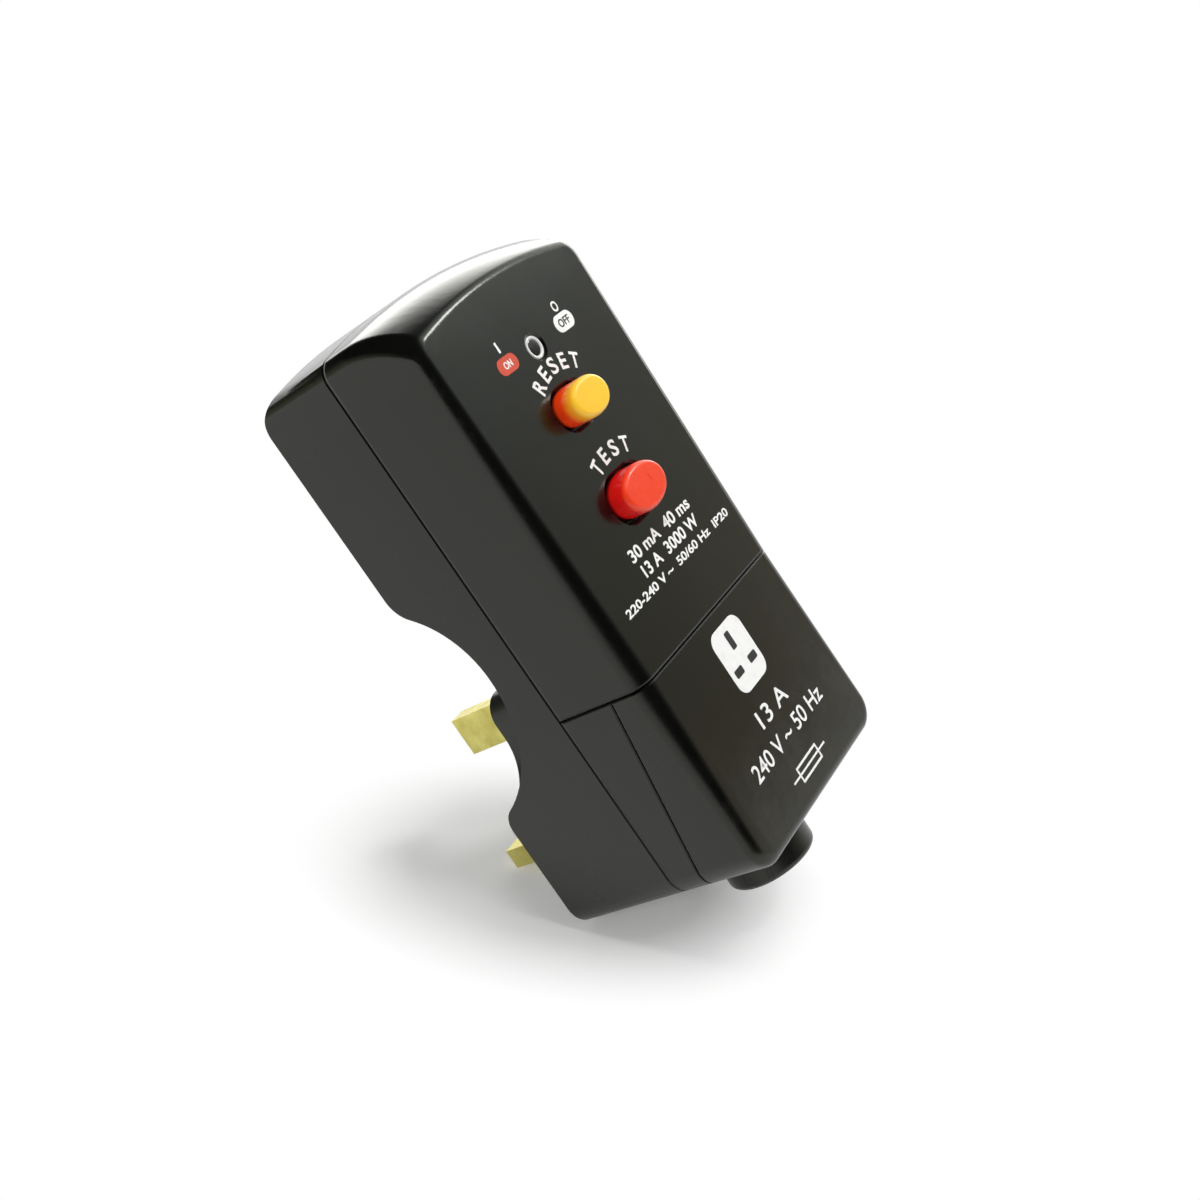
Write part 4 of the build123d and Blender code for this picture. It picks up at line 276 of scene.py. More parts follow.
def housing_plastic(name, color):
    """The shells' black plastic: faint orange peel, smears, soft joint edges, worn rims and, low on
    the front, patches of painted brown reflection.
    """
    material, g = finish(name)
    depth = g.spread(g.axis(1), *FRONT_BAND, 0.0, 1.0)
    low = g.spread(g.axis(2), *LOWER_FRONT_Z, 0.0, 1.0) * depth
    smear = g.noise(55.0, 5.0, (1.0, 1.0, 0.35), 0.62)
    cloud = g.noise(24.0, 3.0)
    # patches low on the front: smudges in the gloss, and a painted brown reflection in the colour
    smudges_and_brown_reflection = g.spread(g.noise(150.0, 6.0, None, 0.66), 0.46, 0.62, 0.0, 1.0) * low
    rim = g.spread(abs(g.axis(0)), HALF_WIDTH - RIM_WIDTH, HALF_WIDTH, 0.0, 1.0) * depth
    worn = g.spread(g.noise(900.0, 4.0), 0.52, 0.70, 0.0, 0.35) * rim
    tone = g.mix(g.follow(cloud, 0.0, 1.0), shade(color, 0.8), shade(color, 1.25))
    # painted reflection: the patches are tinted brown
    tone = g.mix(smudges_and_brown_reflection * 0.5, tone, PAINTED_BROWN_REFLECTION)
    tone = g.mix(worn, tone, WORN)
    crown = g.spread(g.axis(2), *CROWN_Z, 1.0, CROWN_GLOSS)
    flank = g.follow(smear, 0.25, 0.34) * crown
    front = g.follow(smear, 0.14, 0.22) + smudges_and_brown_reflection * 0.10
    gloss = flank * (1.0 - depth) + front * depth + worn * 0.3
    normal = g.bump(g.noise(620.0, 2.0) * PEEL_SHARE + (1.0 - seam_share(g)), SEAM_DEPTH)
    g.shine(base_color=tone, roughness=gloss, normal=normal, specular_tint=BLACK_TINT)
    return material


CROWN_DEPTH = 0.3 * MM
# painted shade: below the front face the button is painted near black, where it lies in the shade
# of its well
WELL_SHADE_DEPTH = 0.8 * MM
WELL_SHADE_SHARE = 0.94
WELL_SHADE_BLACK = (0.002, 0.002, 0.002, 1.0)


def button_plastic(name, top, side, top_y, depth):
    """Glossy plastic with painted shade: its colour deepens from the crown down the sides and goes
    near black below the front face.
    """
    material, g = finish(name)
    cloud = g.noise(130.0, 3.0)
    # painted shade: the colour runs from the top colour to the darker side colour down the sides,
    # where less light falls
    side_shade_fall = g.spread(g.axis(1), top_y + CROWN_DEPTH, top_y + depth, 0.0, 1.0)
    tone = g.mix(side_shade_fall, shade(top), shade(side))
    tone = g.mix(g.follow(cloud, 0.0, 0.12), tone, shade(side, 0.8))
    # painted shade in the button's well
    painted_well_shade = g.spread(g.axis(1), FRONT_Y, FRONT_Y + WELL_SHADE_DEPTH, 0.0, WELL_SHADE_SHARE)
    tone = g.mix(painted_well_shade, tone, WELL_SHADE_BLACK)
    gloss = g.follow(cloud, 0.20, 0.30)
    g.shine(base_color=tone, roughness=gloss, normal=g.bump(g.noise(420.0, 3.0), 0.02 * MM))
    return material


def brass(name, color):
    """Drawn brass: fine lengthwise lines, a little tarnish and uneven polish."""
    material, g = finish(name)
    lines = g.noise(5200.0, 3.0, (1.0, 0.04, 1.0))
    cloud = g.noise(260.0, 4.0)
    dull = (color[0] * 0.72, color[1] * 0.68, color[2] * 0.52, 1.0)
    tone = g.mix(g.spread(cloud, 0.40, 0.78, 0.0, 1.0), shade(color), dull)
    gloss = g.follow(cloud, 0.24, 0.40)
    g.shine(base_color=tone, metallic=1.0, roughness=gloss, normal=g.bump(lines, 0.008 * MM))
    return material


def steel(name, color, rough):
    """Zinc-plated steel with a soft mottle."""
    material, g = finish(name)
    cloud = g.noise(420.0, 4.0)
    tone = g.mix(g.follow(cloud, 0.0, 1.0), shade(color, 0.82), shade(color))
    gloss = g.follow(cloud, rough * 0.8, rough * 1.2)
    normal = g.bump(g.noise(3200.0), 0.008 * MM)
    g.shine(base_color=tone, metallic=1.0, roughness=gloss, normal=normal)
    return material


def enamelled_wire(name, color, direction):
    """Fine turns of enamelled wire, shown as ridges round the winding, with painted shade darkening
    the grooves between the turns.
    """
    material, g = finish(name)
    turns = {"wave_type": "BANDS", "bands_direction": direction}
    wave = g.add("ShaderNodeTexWave", turns, vector=g.place, scale=900.0, distortion=0.6)
    # painted shade: darker colour in the grooves between the turns
    tone = g.mix(wave, shade(color, 0.55), shade(color))
    g.shine(base_color=tone, metallic=0.6, roughness=0.35, normal=g.bump(wave, 0.08 * MM))
    return material


def board_finish(name, color):
    """Green solder mask with faint tracks below it."""
    material, g = finish(name)
    cells = {"feature": "DISTANCE_TO_EDGE", "distance": "EUCLIDEAN"}
    tracks = g.add("ShaderNodeTexVoronoi", cells, vector=g.place, scale=260.0)
    edge = g.spread(tracks, 0.03, 0.06, 1.0, 0.0)
    tone = g.mix(edge, shade(color), shade(color, 1.6))
    g.shine(base_color=tone, roughness=0.34, normal=g.bump(edge, 0.02 * MM))
    return material


def banded_resistor(name, color):
    """A tan bead with darker colour bands across it."""
    material, g = finish(name)
    rings = {"wave_type": "BANDS", "bands_direction": "X"}
    wave = g.add("ShaderNodeTexWave", rings, vector=g.place, scale=260.0)
    band = g.spread(wave, 0.72, 0.76, 0.0, 1.0)
    tone = g.mix(band, shade(color), (0.16, 0.03, 0.015, 1.0))
    g.shine(base_color=tone, roughness=0.36, normal=g.bump(g.noise(2600.0), 0.01 * MM))
    return material


def clear_plastic(name):
    """The clear lens: nearly colourless, with a slightly worn face."""
    material, g = finish(name)
    gloss = g.follow(g.noise(300.0, 4.0), 0.02, 0.06)
    g.shine(base_color=(0.90, 0.91, 0.92, 1.0), roughness=gloss, transmission_weight=1.0, ior=1.49)
    return material


def printed_ink(name, color):
    """Pad-printed ink: flat, thin in places and a little matt."""
    material, g = finish(name)
    wear = g.noise(700.0, 4.0)
    tone = g.mix(g.spread(wear, 0.25, 0.50, 0.0, 1.0), shade(color, 0.93), shade(color))
    g.shine(base_color=tone, roughness=0.5, normal=g.bump(wear, 0.004 * MM))
    return material


def colour_setting(name, description, default):
    """A colour among the settings."""
    return bpy.props.FloatVectorProperty(
        name=name, description=description, default=default, subtype="COLOR"
    )


def length_setting(name, description, default):
    """A length among the settings."""
    return bpy.props.FloatProperty(
        name=name, description=description, default=default, unit="LENGTH"
    )


class PlugCamera(bpy.types.PropertyGroup):
    place: bpy.props.FloatVectorProperty(
        name="Place",
        description="Where the camera stands",
        default=(-0.2240, -0.2196, 0.0909),
        subtype="TRANSLATION",
    )
    right: bpy.props.FloatVectorProperty(
        name="Right",
        description="The picture's direction to the right",
        default=(0.4627, -0.6975, -0.5471),
    )
    up: bpy.props.FloatVectorProperty(
        name="Up", description="The picture's upward direction", default=(0.4859, -0.3166, 0.8147)
    )
    lens: bpy.props.FloatProperty(
        name="Lens", description="Focal length on a 36 mm sensor", default=51.41
    )
    shift_x: bpy.props.FloatProperty(
        name="Shift X", description="Sideways shift of the frame", default=-0.0064
    )
    shift_y: bpy.props.FloatProperty(
        name="Shift Y", description="Upward shift of the frame", default=0.0098
    )


class PlugStudio(bpy.types.PropertyGroup):
    up: bpy.props.FloatVectorProperty(
        name="Up",
        description="The real upward direction: the plug leans on the tips of its pins",
        default=(0.0, -0.529, 0.849),
    )
    floor_drop: length_setting("Floor drop", "How far the floor lies below the origin", 11.25 * MM)
    floor_size: length_setting("Floor size", "The floor's side", 8.0)
    floor_lift: bpy.props.FloatProperty(
        name="Floor lift",
        description="Light that the paper adds to its own shade in pictures",
        default=0.14,
        min=0.0,
        max=1.0,
    )
    room_light: bpy.props.FloatProperty(
        name="Room light", description="Strength of the even light around", default=0.25
    )
    lamp_level: bpy.props.FloatProperty(
        name="Lamp level", description="Strength of the soft boxes", default=1.0
    )
    lamp_distance: length_setting("Lamp distance", "How far off the soft boxes stand", 0.8)


class PlugColours(bpy.types.PropertyGroup):
    housing: colour_setting("Housing", "The black plastic of the shells", (0.0032, 0.0032, 0.0030))
    reset: colour_setting("Reset", "The reset button's orange", (1.0, 0.60, 0.030))
    test: colour_setting("Test", "The test button's red", (0.90, 0.052, 0.008))
    pins: colour_setting("Pins", "The pins' pale brass", (0.70, 0.64, 0.20))
    ink: colour_setting("Ink", "The legends' white", (0.92, 0.92, 0.90))
    badge: colour_setting("Badge", "The first badge's orange red", (0.62, 0.060, 0.022))


class PlugShape(bpy.types.PropertyGroup):
    old_roll: length_setting("First roll", "Radius of the covers' edges in the solids", 2.0 * MM)
    new_roll: length_setting("Finished roll", "Radius of the covers' long front edges", 3.5 * MM)
    fade: length_setting("Fade", "Length over which the wider roll runs out", 4.0 * MM)


class PlugPrint(bpy.types.PropertyGroup):
    ink_depth: length_setting("Ink depth", "How thick the print is", 0.05 * MM)
    weight: bpy.props.FloatProperty(
        name="Weight",
        description="How much the letters are thickened",
        default=0.022,
        min=0.0,
        max=0.1,
    )
    letter_height: length_setting("Letter height", "Letters over the buttons", 2.9 * MM)


def deselect():
    """Object mode with nothing selected."""
    if bpy.context.object and bpy.context.object.mode != "OBJECT":
        bpy.ops.object.mode_set(mode="OBJECT")
    bpy.ops.object.select_all(action="DESELECT")


def pick(piece):
    """Only this piece, active."""
    deselect()
    piece.select_set(True)
    bpy.context.view_layer.objects.active = piece


def body_name(node):
    """The body that a node rides on."""
    for body, members in frame["record"]["behaviour"]["bodies"].items():
        if node in members:
            return body
    raise ValueError(f"no body holds {node}")


def dress(things, material):
    """Gives nodes, by name, or pieces one material."""
    for thing in things:
        piece = NODES[thing] if isinstance(thing, str) else thing
        piece.data.materials.clear()
        piece.data.materials.append(material)


def stand_for(piece, node):
    """A piece that is shown instead of a node and moves with it."""
    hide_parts(node)
    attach(piece, body_name(node))


def smooth(piece, angle):
    """Smooth faces, with edges sharper than the angle kept."""
    pick(piece)
    bpy.ops.object.shade_smooth_by_angle(angle=math.radians(angle))


def merged_copy(node):
    """A free copy of a node with its triangles joined up."""
    piece = NODES[node].copy()
    piece.data = piece.data.copy()
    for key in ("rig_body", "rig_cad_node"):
        if key in piece:
            del piece[key]
    piece.parent = None
    piece.name = f"finished_{node}"
    bpy.context.collection.objects.link(piece)
    piece.data.materials.clear()
    pick(piece)
    bpy.ops.object.mode_set(mode="EDIT")
    bpy.ops.mesh.select_all(action="SELECT")
    bpy.ops.mesh.remove_doubles(threshold=0.002 * MM)
    bpy.ops.mesh.customdata_custom_splitnormals_clear()
    bpy.ops.object.mode_set(mode="OBJECT")
    return piece


def finished_copy(node, angle=SMOOTH_ANGLE):
    """A merged, smooth copy that stands for its node."""
    piece = merged_copy(node)
    smooth(piece, angle)
    stand_for(piece, node)
    return piece


def join(pieces, name):
    """Several pieces as one mesh."""
    deselect()
    for piece in pieces:
        piece.select_set(True)
    bpy.context.view_layer.objects.active = pieces[0]
    if len(pieces) > 1:
        bpy.ops.object.join()
    whole = bpy.context.object
    whole.name = name
    return whole


def place_on_front(piece, x, z, turn, depth, lift=0.0):
    """Sets a flat piece, drawn in X and Y, upright on the front face."""
    upright = Matrix.Rotation(math.radians(90.0), 4, "X")
    spin = Matrix.Rotation(math.radians(turn), 4, "Y")
    spot = Matrix.Translation((x, FRONT_Y - depth / 2 + INK_SINK - lift, z))
    piece.data.transform(spot @ spin @ upright)
    piece.data.update()
    return piece


def printed_words(words, x, z, tall, wide=None, turn=0.0, weight=None, lift=0.0):
    """Words as a thin print, fitted to a height and a width."""
    prints = bpy.context.scene.plug_print
    deselect()
    bpy.ops.object.text_add()
    text = bpy.context.object.data
    text.body = words
    text.size = 1.0
    text.offset = prints.weight if weight is None else weight
    text.extrude = 0.5
    text.resolution_u = 6
    bpy.ops.object.convert(target="MESH")
    piece = bpy.context.object
    spots = [vertex.co for vertex in piece.data.vertices]
    low = Vector([min(spot[axis] for spot in spots) for axis in range(3)])
    high = Vector([max(spot[axis] for spot in spots) for axis in range(3)])
    middle = (low + high) / 2
    grow_y = tall / (high.y - low.y)
    grow_x = wide / (high.x - low.x) if wide else grow_y
    grow = Matrix.Diagonal((grow_x, grow_y, prints.ink_depth, 1.0))
    piece.data.transform(grow @ Matrix.Translation(-middle))
    return place_on_front(piece, x, z, turn, prints.ink_depth, lift)


def printed_plate(x, z, wide, tall, corner, turn=0.0, lift=0.0):
    """A flat printed patch with rounded corners."""
    depth = bpy.context.scene.plug_print.ink_depth
    deselect()
    bpy.ops.mesh.primitive_plane_add(size=1.0)
    piece = bpy.context.object
    bpy.ops.object.mode_set(mode="EDIT")
    bpy.ops.mesh.select_all(action="SELECT")
    bpy.ops.transform.resize(value=(wide, tall, 1.0))
    if corner:
        bpy.ops.mesh.bevel(offset=corner, segments=8, affect="VERTICES", clamp_overlap=True)
        bpy.ops.mesh.select_all(action="SELECT")
        bpy.ops.mesh.remove_doubles(threshold=0.001 * MM)
        bpy.ops.mesh.select_all(action="SELECT")
    bpy.ops.transform.translate(value=(0.0, 0.0, -depth / 2))
    bpy.ops.mesh.extrude_region_move(TRANSFORM_OT_translate={"value": (0.0, 0.0, depth)})
    bpy.ops.mesh.select_all(action="SELECT")
    bpy.ops.mesh.normals_make_consistent(inside=False)
    bpy.ops.object.mode_set(mode="OBJECT")
    return place_on_front(piece, x, z, turn, depth, lift)


LETTER_SHARES = {"R": 0.76, "E": 0.64, "S": 0.72, "T": 0.74}  # widths, as shares of the height


def arc_words(word, middle_x, middle_z, radius, first, step, tall):
    """Single letters round an arc, each standing on it."""
    letters = []
    for place, letter in enumerate(word):
        angle = first + place * step
        x = middle_x + radius * math.sin(math.radians(angle))
        z = middle_z + radius * math.cos(math.radians(angle))
        letters.append(printed_words(letter, x, z, tall, tall * LETTER_SHARES[letter], angle))
    return letters


def mount_print(piece, body, material):
    """Fixes a print to a moulding."""
    dress([piece], material)
    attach(piece, body)


def cut_across(piece, place, normal):
    """New edges where a plane meets the piece, without a change of shape."""
    pick(piece)
    bpy.ops.object.mode_set(mode="EDIT")
    bpy.ops.mesh.select_all(action="SELECT")
    bpy.ops.mesh.bisect(plane_co=place, plane_no=normal, use_fill=False)
    bpy.ops.object.mode_set(mode="OBJECT")


SLACK = 0.02 * MM  # how far a vertex may lie outside a form that it belongs to


def widen_roll(piece, low_z, high_z):
    """Gives the long front edges a larger roll, which runs out at the corners."""
    shape = bpy.context.scene.plug_shape
    reach = shape.old_roll + SLACK
    grow = shape.new_roll / shape.old_roll - 1
    for vertex in piece.data.vertices:
        inset = HALF_WIDTH - abs(vertex.co.x)
        depth = vertex.co.y - FRONT_Y
        if inset > reach or depth > reach:
            continue
        low = (vertex.co.z - low_z) / shape.fade
        high = (high_z - vertex.co.z) / shape.fade
        scale = 1 + grow * max(0.0, min(1.0, low, high))
        vertex.co.x = math.copysign(HALF_WIDTH - inset * scale, vertex.co.x)
        vertex.co.y = FRONT_Y + depth * scale
    piece.data.update()


BUTTON_FLANGE = 0.9 * MM  # how far the hidden rim stands out of the button's side
OLD_EDGE = 0.9 * MM
NEW_EDGE = 1.0 * MM
OVAL_DEPTH = 2.6 * MM  # how far below the face the oval form goes on


def oval_top(piece, box, share):
    """Turns a straight-sided button into an oval one with a rounder top edge."""
    half = (box[1].x - box[0].x) / 2 - BUTTON_FLANGE
    middle_z = (box[0].z + box[1].z) / 2
    radius = (box[1].z - box[0].z) / 2 - BUTTON_FLANGE
    straight = half - radius
    top = box[0].y
    for vertex in piece.data.vertices:
        x, y, z = vertex.co.x, vertex.co.y, vertex.co.z - middle_z
        core = max(-straight, min(straight, x))
        out = math.hypot(x - core, z)
        if y > FRONT_Y + OVAL_DEPTH or out > radius + SLACK:
            continue
        inset = radius - out
        if y < top + OLD_EDGE and out > 0:
            inset *= NEW_EDGE / OLD_EDGE
            y = top + (y - top) * NEW_EDGE / OLD_EDGE
            x = core + (x - core) / out * (radius - inset)
            z = z / out * (radius - inset)
        run = min(abs(x), half * 0.999)
        round_z = math.sqrt(1 - (run / half) ** 2) * radius
        flat_z = math.sqrt(max(radius**2 - max(run - straight, 0.0) ** 2, 0.0))
        vertex.co = (x, y, middle_z + z * (1 + share * (round_z / flat_z - 1)))
    piece.data.update()


def heading(turn, rise):
    """A direction: its turn from the plug's right round the real upward line, and its height."""
    up = Vector(bpy.context.scene.plug_studio.up).normalized()
    side = Vector((1.0, 0.0, 0.0))
    back = up.cross(side).normalized()
    turn, rise = math.radians(turn), math.radians(rise)
    return (side * math.cos(turn) + back * math.sin(turn)) * math.cos(rise) + up * math.sin(rise)


SENSOR_WIDTH = 36.0
CAMERA_CLIP = 10 * MM
PAPER = (0.93, 0.93, 0.92, 1.0)
PATCH_MIDDLE = (-12 * MM, 7 * MM)  # to the side and back
PATCH_REACH = (24 * MM, 42 * MM)
PATCH_FADE = (0.5, 1.8)  # from full shade to none, in squares of the reach
GLOW_HEADING = (-28, 42)
GLOW_LEVEL = 1.9
GLOW_FOCUS = 10.0
GLOW_TINT = (0.96, 1.0, 0.98)
ROOM_PATCHES = [  # turn, start and end of its spread, highest and lowest rise, strength, colour
    (20, 0.70, 0.88, 0.64, 0.20, 4.4, (1.0, 1.0, 0.97)),
    (-48, 0.78, 0.97, 0.30, 0.02, 0.42, (1.0, 0.82, 0.50)),
    (110, 0.75, 0.95, 0.24, 0.05, 0.5, (1.0, 0.97, 0.70)),
]
SOFT_BOXES = [  # name, turn, rise, side, brightness, whether gloss shows it
    ("box_key", -28, 42, 0.16, 16.0, True),
    ("box_overhead", -40, 84, 0.36, 7.6, False),
    ("box_front", -60, 45, 0.80, 0.85, False),
    ("box_fill", 170, 10, 0.50, 4.2, False),
]


class PLUG_OT_studio(bpy.types.Operator):
    """Sets up the pale floor, the soft lamps and the camera."""

    bl_idname = "plug.studio"
    bl_label = "Studio"

    def execute(self, context):
        studio = context.scene.plug_studio
        context.scene.view_settings.view_transform = "Standard"
        self.camera(context, context.scene.plug_camera)
        self.floor(studio)
        self.world(context, studio)
        self.lamps(studio)
        return {"FINISHED"}

    def camera(self, context, view):
        """A camera that stands where the photograph was taken from."""
        deselect()
        bpy.ops.object.camera_add()
        camera = bpy.context.object
        right, up = Vector(view.right), Vector(view.up)
        turn = Matrix((right, up, right.cross(up))).transposed()
        camera.matrix_world = Matrix.Translation(view.place) @ turn.to_4x4()
        camera.data.lens = view.lens
        camera.data.sensor_width = SENSOR_WIDTH
        camera.data.shift_x = view.shift_x
        camera.data.shift_y = view.shift_y
        camera.data.clip_start = CAMERA_CLIP
        context.scene.camera = camera

    def floor(self, studio):
        """White paper square to the real upward direction."""
        deselect()
        up = Vector(studio.up).normalized()
        bpy.ops.mesh.primitive_plane_add(size=studio.floor_size)
        floor = bpy.context.object
        turn = up.to_track_quat("Z", "Y").to_matrix().to_4x4()
        floor.matrix_world = Matrix.Translation(up * -studio.floor_drop) @ turn
        floor.name = "studio_floor"
        floor.data.materials.append(self.paper(studio, turn.to_3x3()))

    def paper(self, studio, turn):
        """Paper that keeps the plug's shade, is else white in pictures and clear from below."""
        material, g = finish("studio_paper")
        shown = g.larger(g.ray("Is Camera Ray"), g.ray("Is Glossy Ray"))
        seen = g.larger(shown, g.ray("Is Transmission Ray"))
        paper = g.add("ShaderNodeBsdfDiffuse", {}, color=PAPER)
        lift = g.add("ShaderNodeEmission", {}, color=WHITE, strength=seen * studio.floor_lift)
        shaded = g.add("ShaderNodeAddShader", {}, paper, lift)
        bright = g.add("ShaderNodeEmission", {}, color=WHITE, strength=seen)
        kept = g.larger(self.shade_patch(g, turn), 1.0 - seen)
        lit = g.add("ShaderNodeMixShader", {}, kept, bright, shaded)
        clear = g.add("ShaderNodeBsdfTransparent", {})
        below = g.add("ShaderNodeNewGeometry", {}, out="Backfacing")
        both = g.add("ShaderNodeMixShader", {}, below, lit, clear)
        g.show(both)
        return material

    def shade_patch(self, g, turn):
        """How much of the shade the paper keeps: all of it near the plug, none further out."""
        side, back = (turn.inverted() @ heading(way, 0) for way in (0, 90))
        across = (g.dot(g.place, side) - PATCH_MIDDLE[0]) * (1 / PATCH_REACH[0])
        along = (g.dot(g.place, back) - PATCH_MIDDLE[1]) * (1 / PATCH_REACH[1])
        return g.spread(across**2 + along**2, *PATCH_FADE, 1.0, 0.0)

    def world(self, context, studio):
        """What gloss mirrors is a dark room with a glow and bright patches; its light is even."""
        world = bpy.data.worlds.new("studio_room")
        world.use_nodes = True
        g = Graph(world.node_tree, "ShaderNodeOutputWorld")
        way = Paint(g, g.coordinates.outputs["Generated"])
        rise = g.dot(way, heading(0, 90))
        glow = g.larger(g.dot(way, heading(*GLOW_HEADING)), 0.0) ** GLOW_FOCUS
        room = g.tinted(glow * GLOW_LEVEL, GLOW_TINT)
        for turn, start, end, high, low, strength, color in ROOM_PATCHES:
            share = g.spread(g.dot(way, heading(turn, 0)), start, end, 0.0, 1.0)
            share *= g.spread(rise, high, low, 0.0, 1.0)
            patch = g.tinted(share * strength, color)
            room = g.add("ShaderNodeVectorMath", {"operation": "ADD"}, room, patch)
        seen = g.add("ShaderNodeBackground", {}, color=room, strength=1.0)
        even = g.add("ShaderNodeBackground", {}, color=WHITE, strength=studio.room_light)
        soft = g.add("ShaderNodeMixShader", {}, g.ray("Is Diffuse Ray"), seen, even)
        white = g.add("ShaderNodeBackground", {}, color=WHITE, strength=1.0)
        both = g.add("ShaderNodeMixShader", {}, g.ray("Is Camera Ray"), soft, white)
        g.show(both)
        context.scene.world = world

    def lamps(self, studio):
        """Soft boxes aimed at the plug's middle."""
        for name, turn, rise, size, brightness, reflected in SOFT_BOXES:
            deselect()
            bpy.ops.object.light_add(type="AREA")
            lamp = bpy.context.object
            lamp.name = name
            lamp.location = MIDDLE + heading(turn, rise) * studio.lamp_distance
            lamp.rotation_mode = "QUATERNION"
            lamp.rotation_quaternion = heading(turn, rise).to_track_quat("Z", "Y")
            lamp.data.size = size
            lamp.data.energy = math.pi * size * size * brightness * studio.lamp_level
            lamp.visible_glossy = reflected


ALWAYS = 1.0  # a height above every piece
ROLLED_COVERS = [  # node, and the heights between which its front edges get the larger roll
    ("upper_cover", -ALWAYS, 85.2 * MM),
    ("terminal_cover", -7.8 * MM, ALWAYS),
]


class PLUG_OT_shells(bpy.types.Operator):
    """Finishes the moulded shells, the carrier and the cord gland in black plastic."""

    bl_idname = "plug.shells"
    bl_label = "Shells"

    def execute(self, context):
        colours = context.scene.plug_colours
        black = housing_plastic("housing_black", colours.housing)
        for node in ("rear_base", "inner_chassis", "cord_gland"):
            dress([finished_copy(node)], black)
        for node, low_z, high_z in ROLLED_COVERS:
            piece = merged_copy(node)
            widen_roll(piece, low_z, high_z)
            smooth(piece, SMOOTH_ANGLE)
            stand_for(piece, node)
            dress([piece], black)
        satin = moulded_plastic("satin_black", colours.housing, 0.38)
        for node in ("fuse_carrier", "pin_sleeves"):
            dress([finished_copy(node)], satin)
        return {"FINISHED"}


CUTS_EACH_WAY = 4
CUT_STEP = 0.55 * MM
BUTTONS = [  # node, box, material, setting, colour and depth of the sides' painted shade, share of the oval
    ("reset_button", RESET_BOX, "reset_orange", "reset", (0.97, 0.055, 0.006), 3.0 * MM, 0.8),
    ("test_button", TEST_BOX, "test_red", "test", (0.80, 0.010, 0.008), 1.1 * MM, 1.0),
]
RELIEF_PLACE = (1.9 * MM, 50.7 * MM)
RELIEF_SIZE = 1.5 * MM


class PLUG_OT_buttons(bpy.types.Operator):
    """Finishes the orange reset button and the red test button, oval with rounded tops."""

    bl_idname = "plug.buttons"
    bl_label = "Buttons"

    def execute(self, context):
        colours = context.scene.plug_colours
        for node, box, name, setting, side, side_shade_fall, share in BUTTONS:
            paint = button_plastic(name, getattr(colours, setting), side, box[0].y, side_shade_fall)
            piece = merged_copy(node)
            for step in range(-CUTS_EACH_WAY, CUTS_EACH_WAY + 1):
                cut_across(piece, (step * CUT_STEP, 0.0, 0.0), (1.0, 0.0, 0.0))
            oval_top(piece, box, share)
            smooth(piece, SMOOTH_ANGLE)
            stand_for(piece, node)
            dress([piece], paint)
        lift = FRONT_Y - TEST_BOX[0].y
        relief = printed_words("T", *RELIEF_PLACE, RELIEF_SIZE, RELIEF_SIZE, lift=lift)
        relief.name = "test_relief"
        mount_print(relief, "test", paint)
        return {"FINISHED"}


LENS_RADIUS = 2.15 * MM
DOME_RINGS = ((0.22, 0.20), (0.30, 0.14), (0.40, 0.10), (0.50, 0.05))  # inset and rise in mm
FLAT_SHARE = 0.9  # how far a face has to point forward to belong to the dome
RING_WIRE = 0.34 * MM
RING_INSET = 0.36 * MM
RING_DEPTH = 0.55 * MM


class PLUG_OT_window(bpy.types.Operator):
    """Puts the domed clear lens in the indicator window, with a pale ring round it as a painted
    highlight of the lens's rim.
    """

    bl_idname = "plug.window"
    bl_label = "Indicator window"

    def execute(self, context):
        middle = (LENS_BOX[0] + LENS_BOX[1]) / 2
        dome = self.dome(middle)
        stand_for(dome, "window_lens")
        dress([dome], clear_plastic("lens_clear"))
        ring = self.ring(middle)
        # painted highlight: the ring's pale colour stands in for the white reflection on the clear
        # lens's rim
        dress([ring], moulded_plastic("lens_ring", (0.80, 0.81, 0.80), 0.22, 0.2, 0.5))
        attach(ring, "housing")
        return {"FINISHED"}

    def dome(self, middle):
        """A disc whose front is raised ring by ring to a shallow dome."""
        deselect()
        depth = LENS_BOX[1].y - LENS_BOX[0].y
        bpy.ops.mesh.primitive_cylinder_add(vertices=64, radius=LENS_RADIUS, depth=depth)
        piece = bpy.context.object
        bpy.ops.object.mode_set(mode="EDIT")
        bpy.ops.mesh.select_mode(type="FACE")
        bpy.ops.mesh.select_all(action="DESELECT")
        bpy.ops.object.mode_set(mode="OBJECT")
        for face in piece.data.polygons:
            face.select = face.normal.z > FLAT_SHARE
        bpy.ops.object.mode_set(mode="EDIT")
        for inset, lift in DOME_RINGS:
            bpy.ops.mesh.inset(thickness=inset * MM)
            bpy.ops.transform.translate(value=(0.0, 0.0, lift * MM))
        bpy.ops.object.mode_set(mode="OBJECT")
        upright = Matrix.Rotation(math.radians(90.0), 4, "X")
        piece.data.transform(Matrix.Translation(middle) @ upright)
        piece.name = "lens_dome"
        smooth(piece, 50.0)
        return piece

    def ring(self, middle):
        """The pale ring round the lens: a painted highlight standing in for the reflection on the
        clear lens's rim.
        """
        deselect()
        bpy.ops.mesh.primitive_torus_add(
            major_radius=LENS_RADIUS - RING_INSET,
            minor_radius=RING_WIRE,
            major_segments=72,
            minor_segments=16,
        )
        piece = bpy.context.object
        seat = Matrix.Translation((middle.x, FRONT_Y + RING_DEPTH, middle.z))
        piece.data.transform(seat @ Matrix.Rotation(math.radians(90.0), 4, "X"))
        piece.name = "lens_ring"
        smooth(piece, 60.0)
        return piece


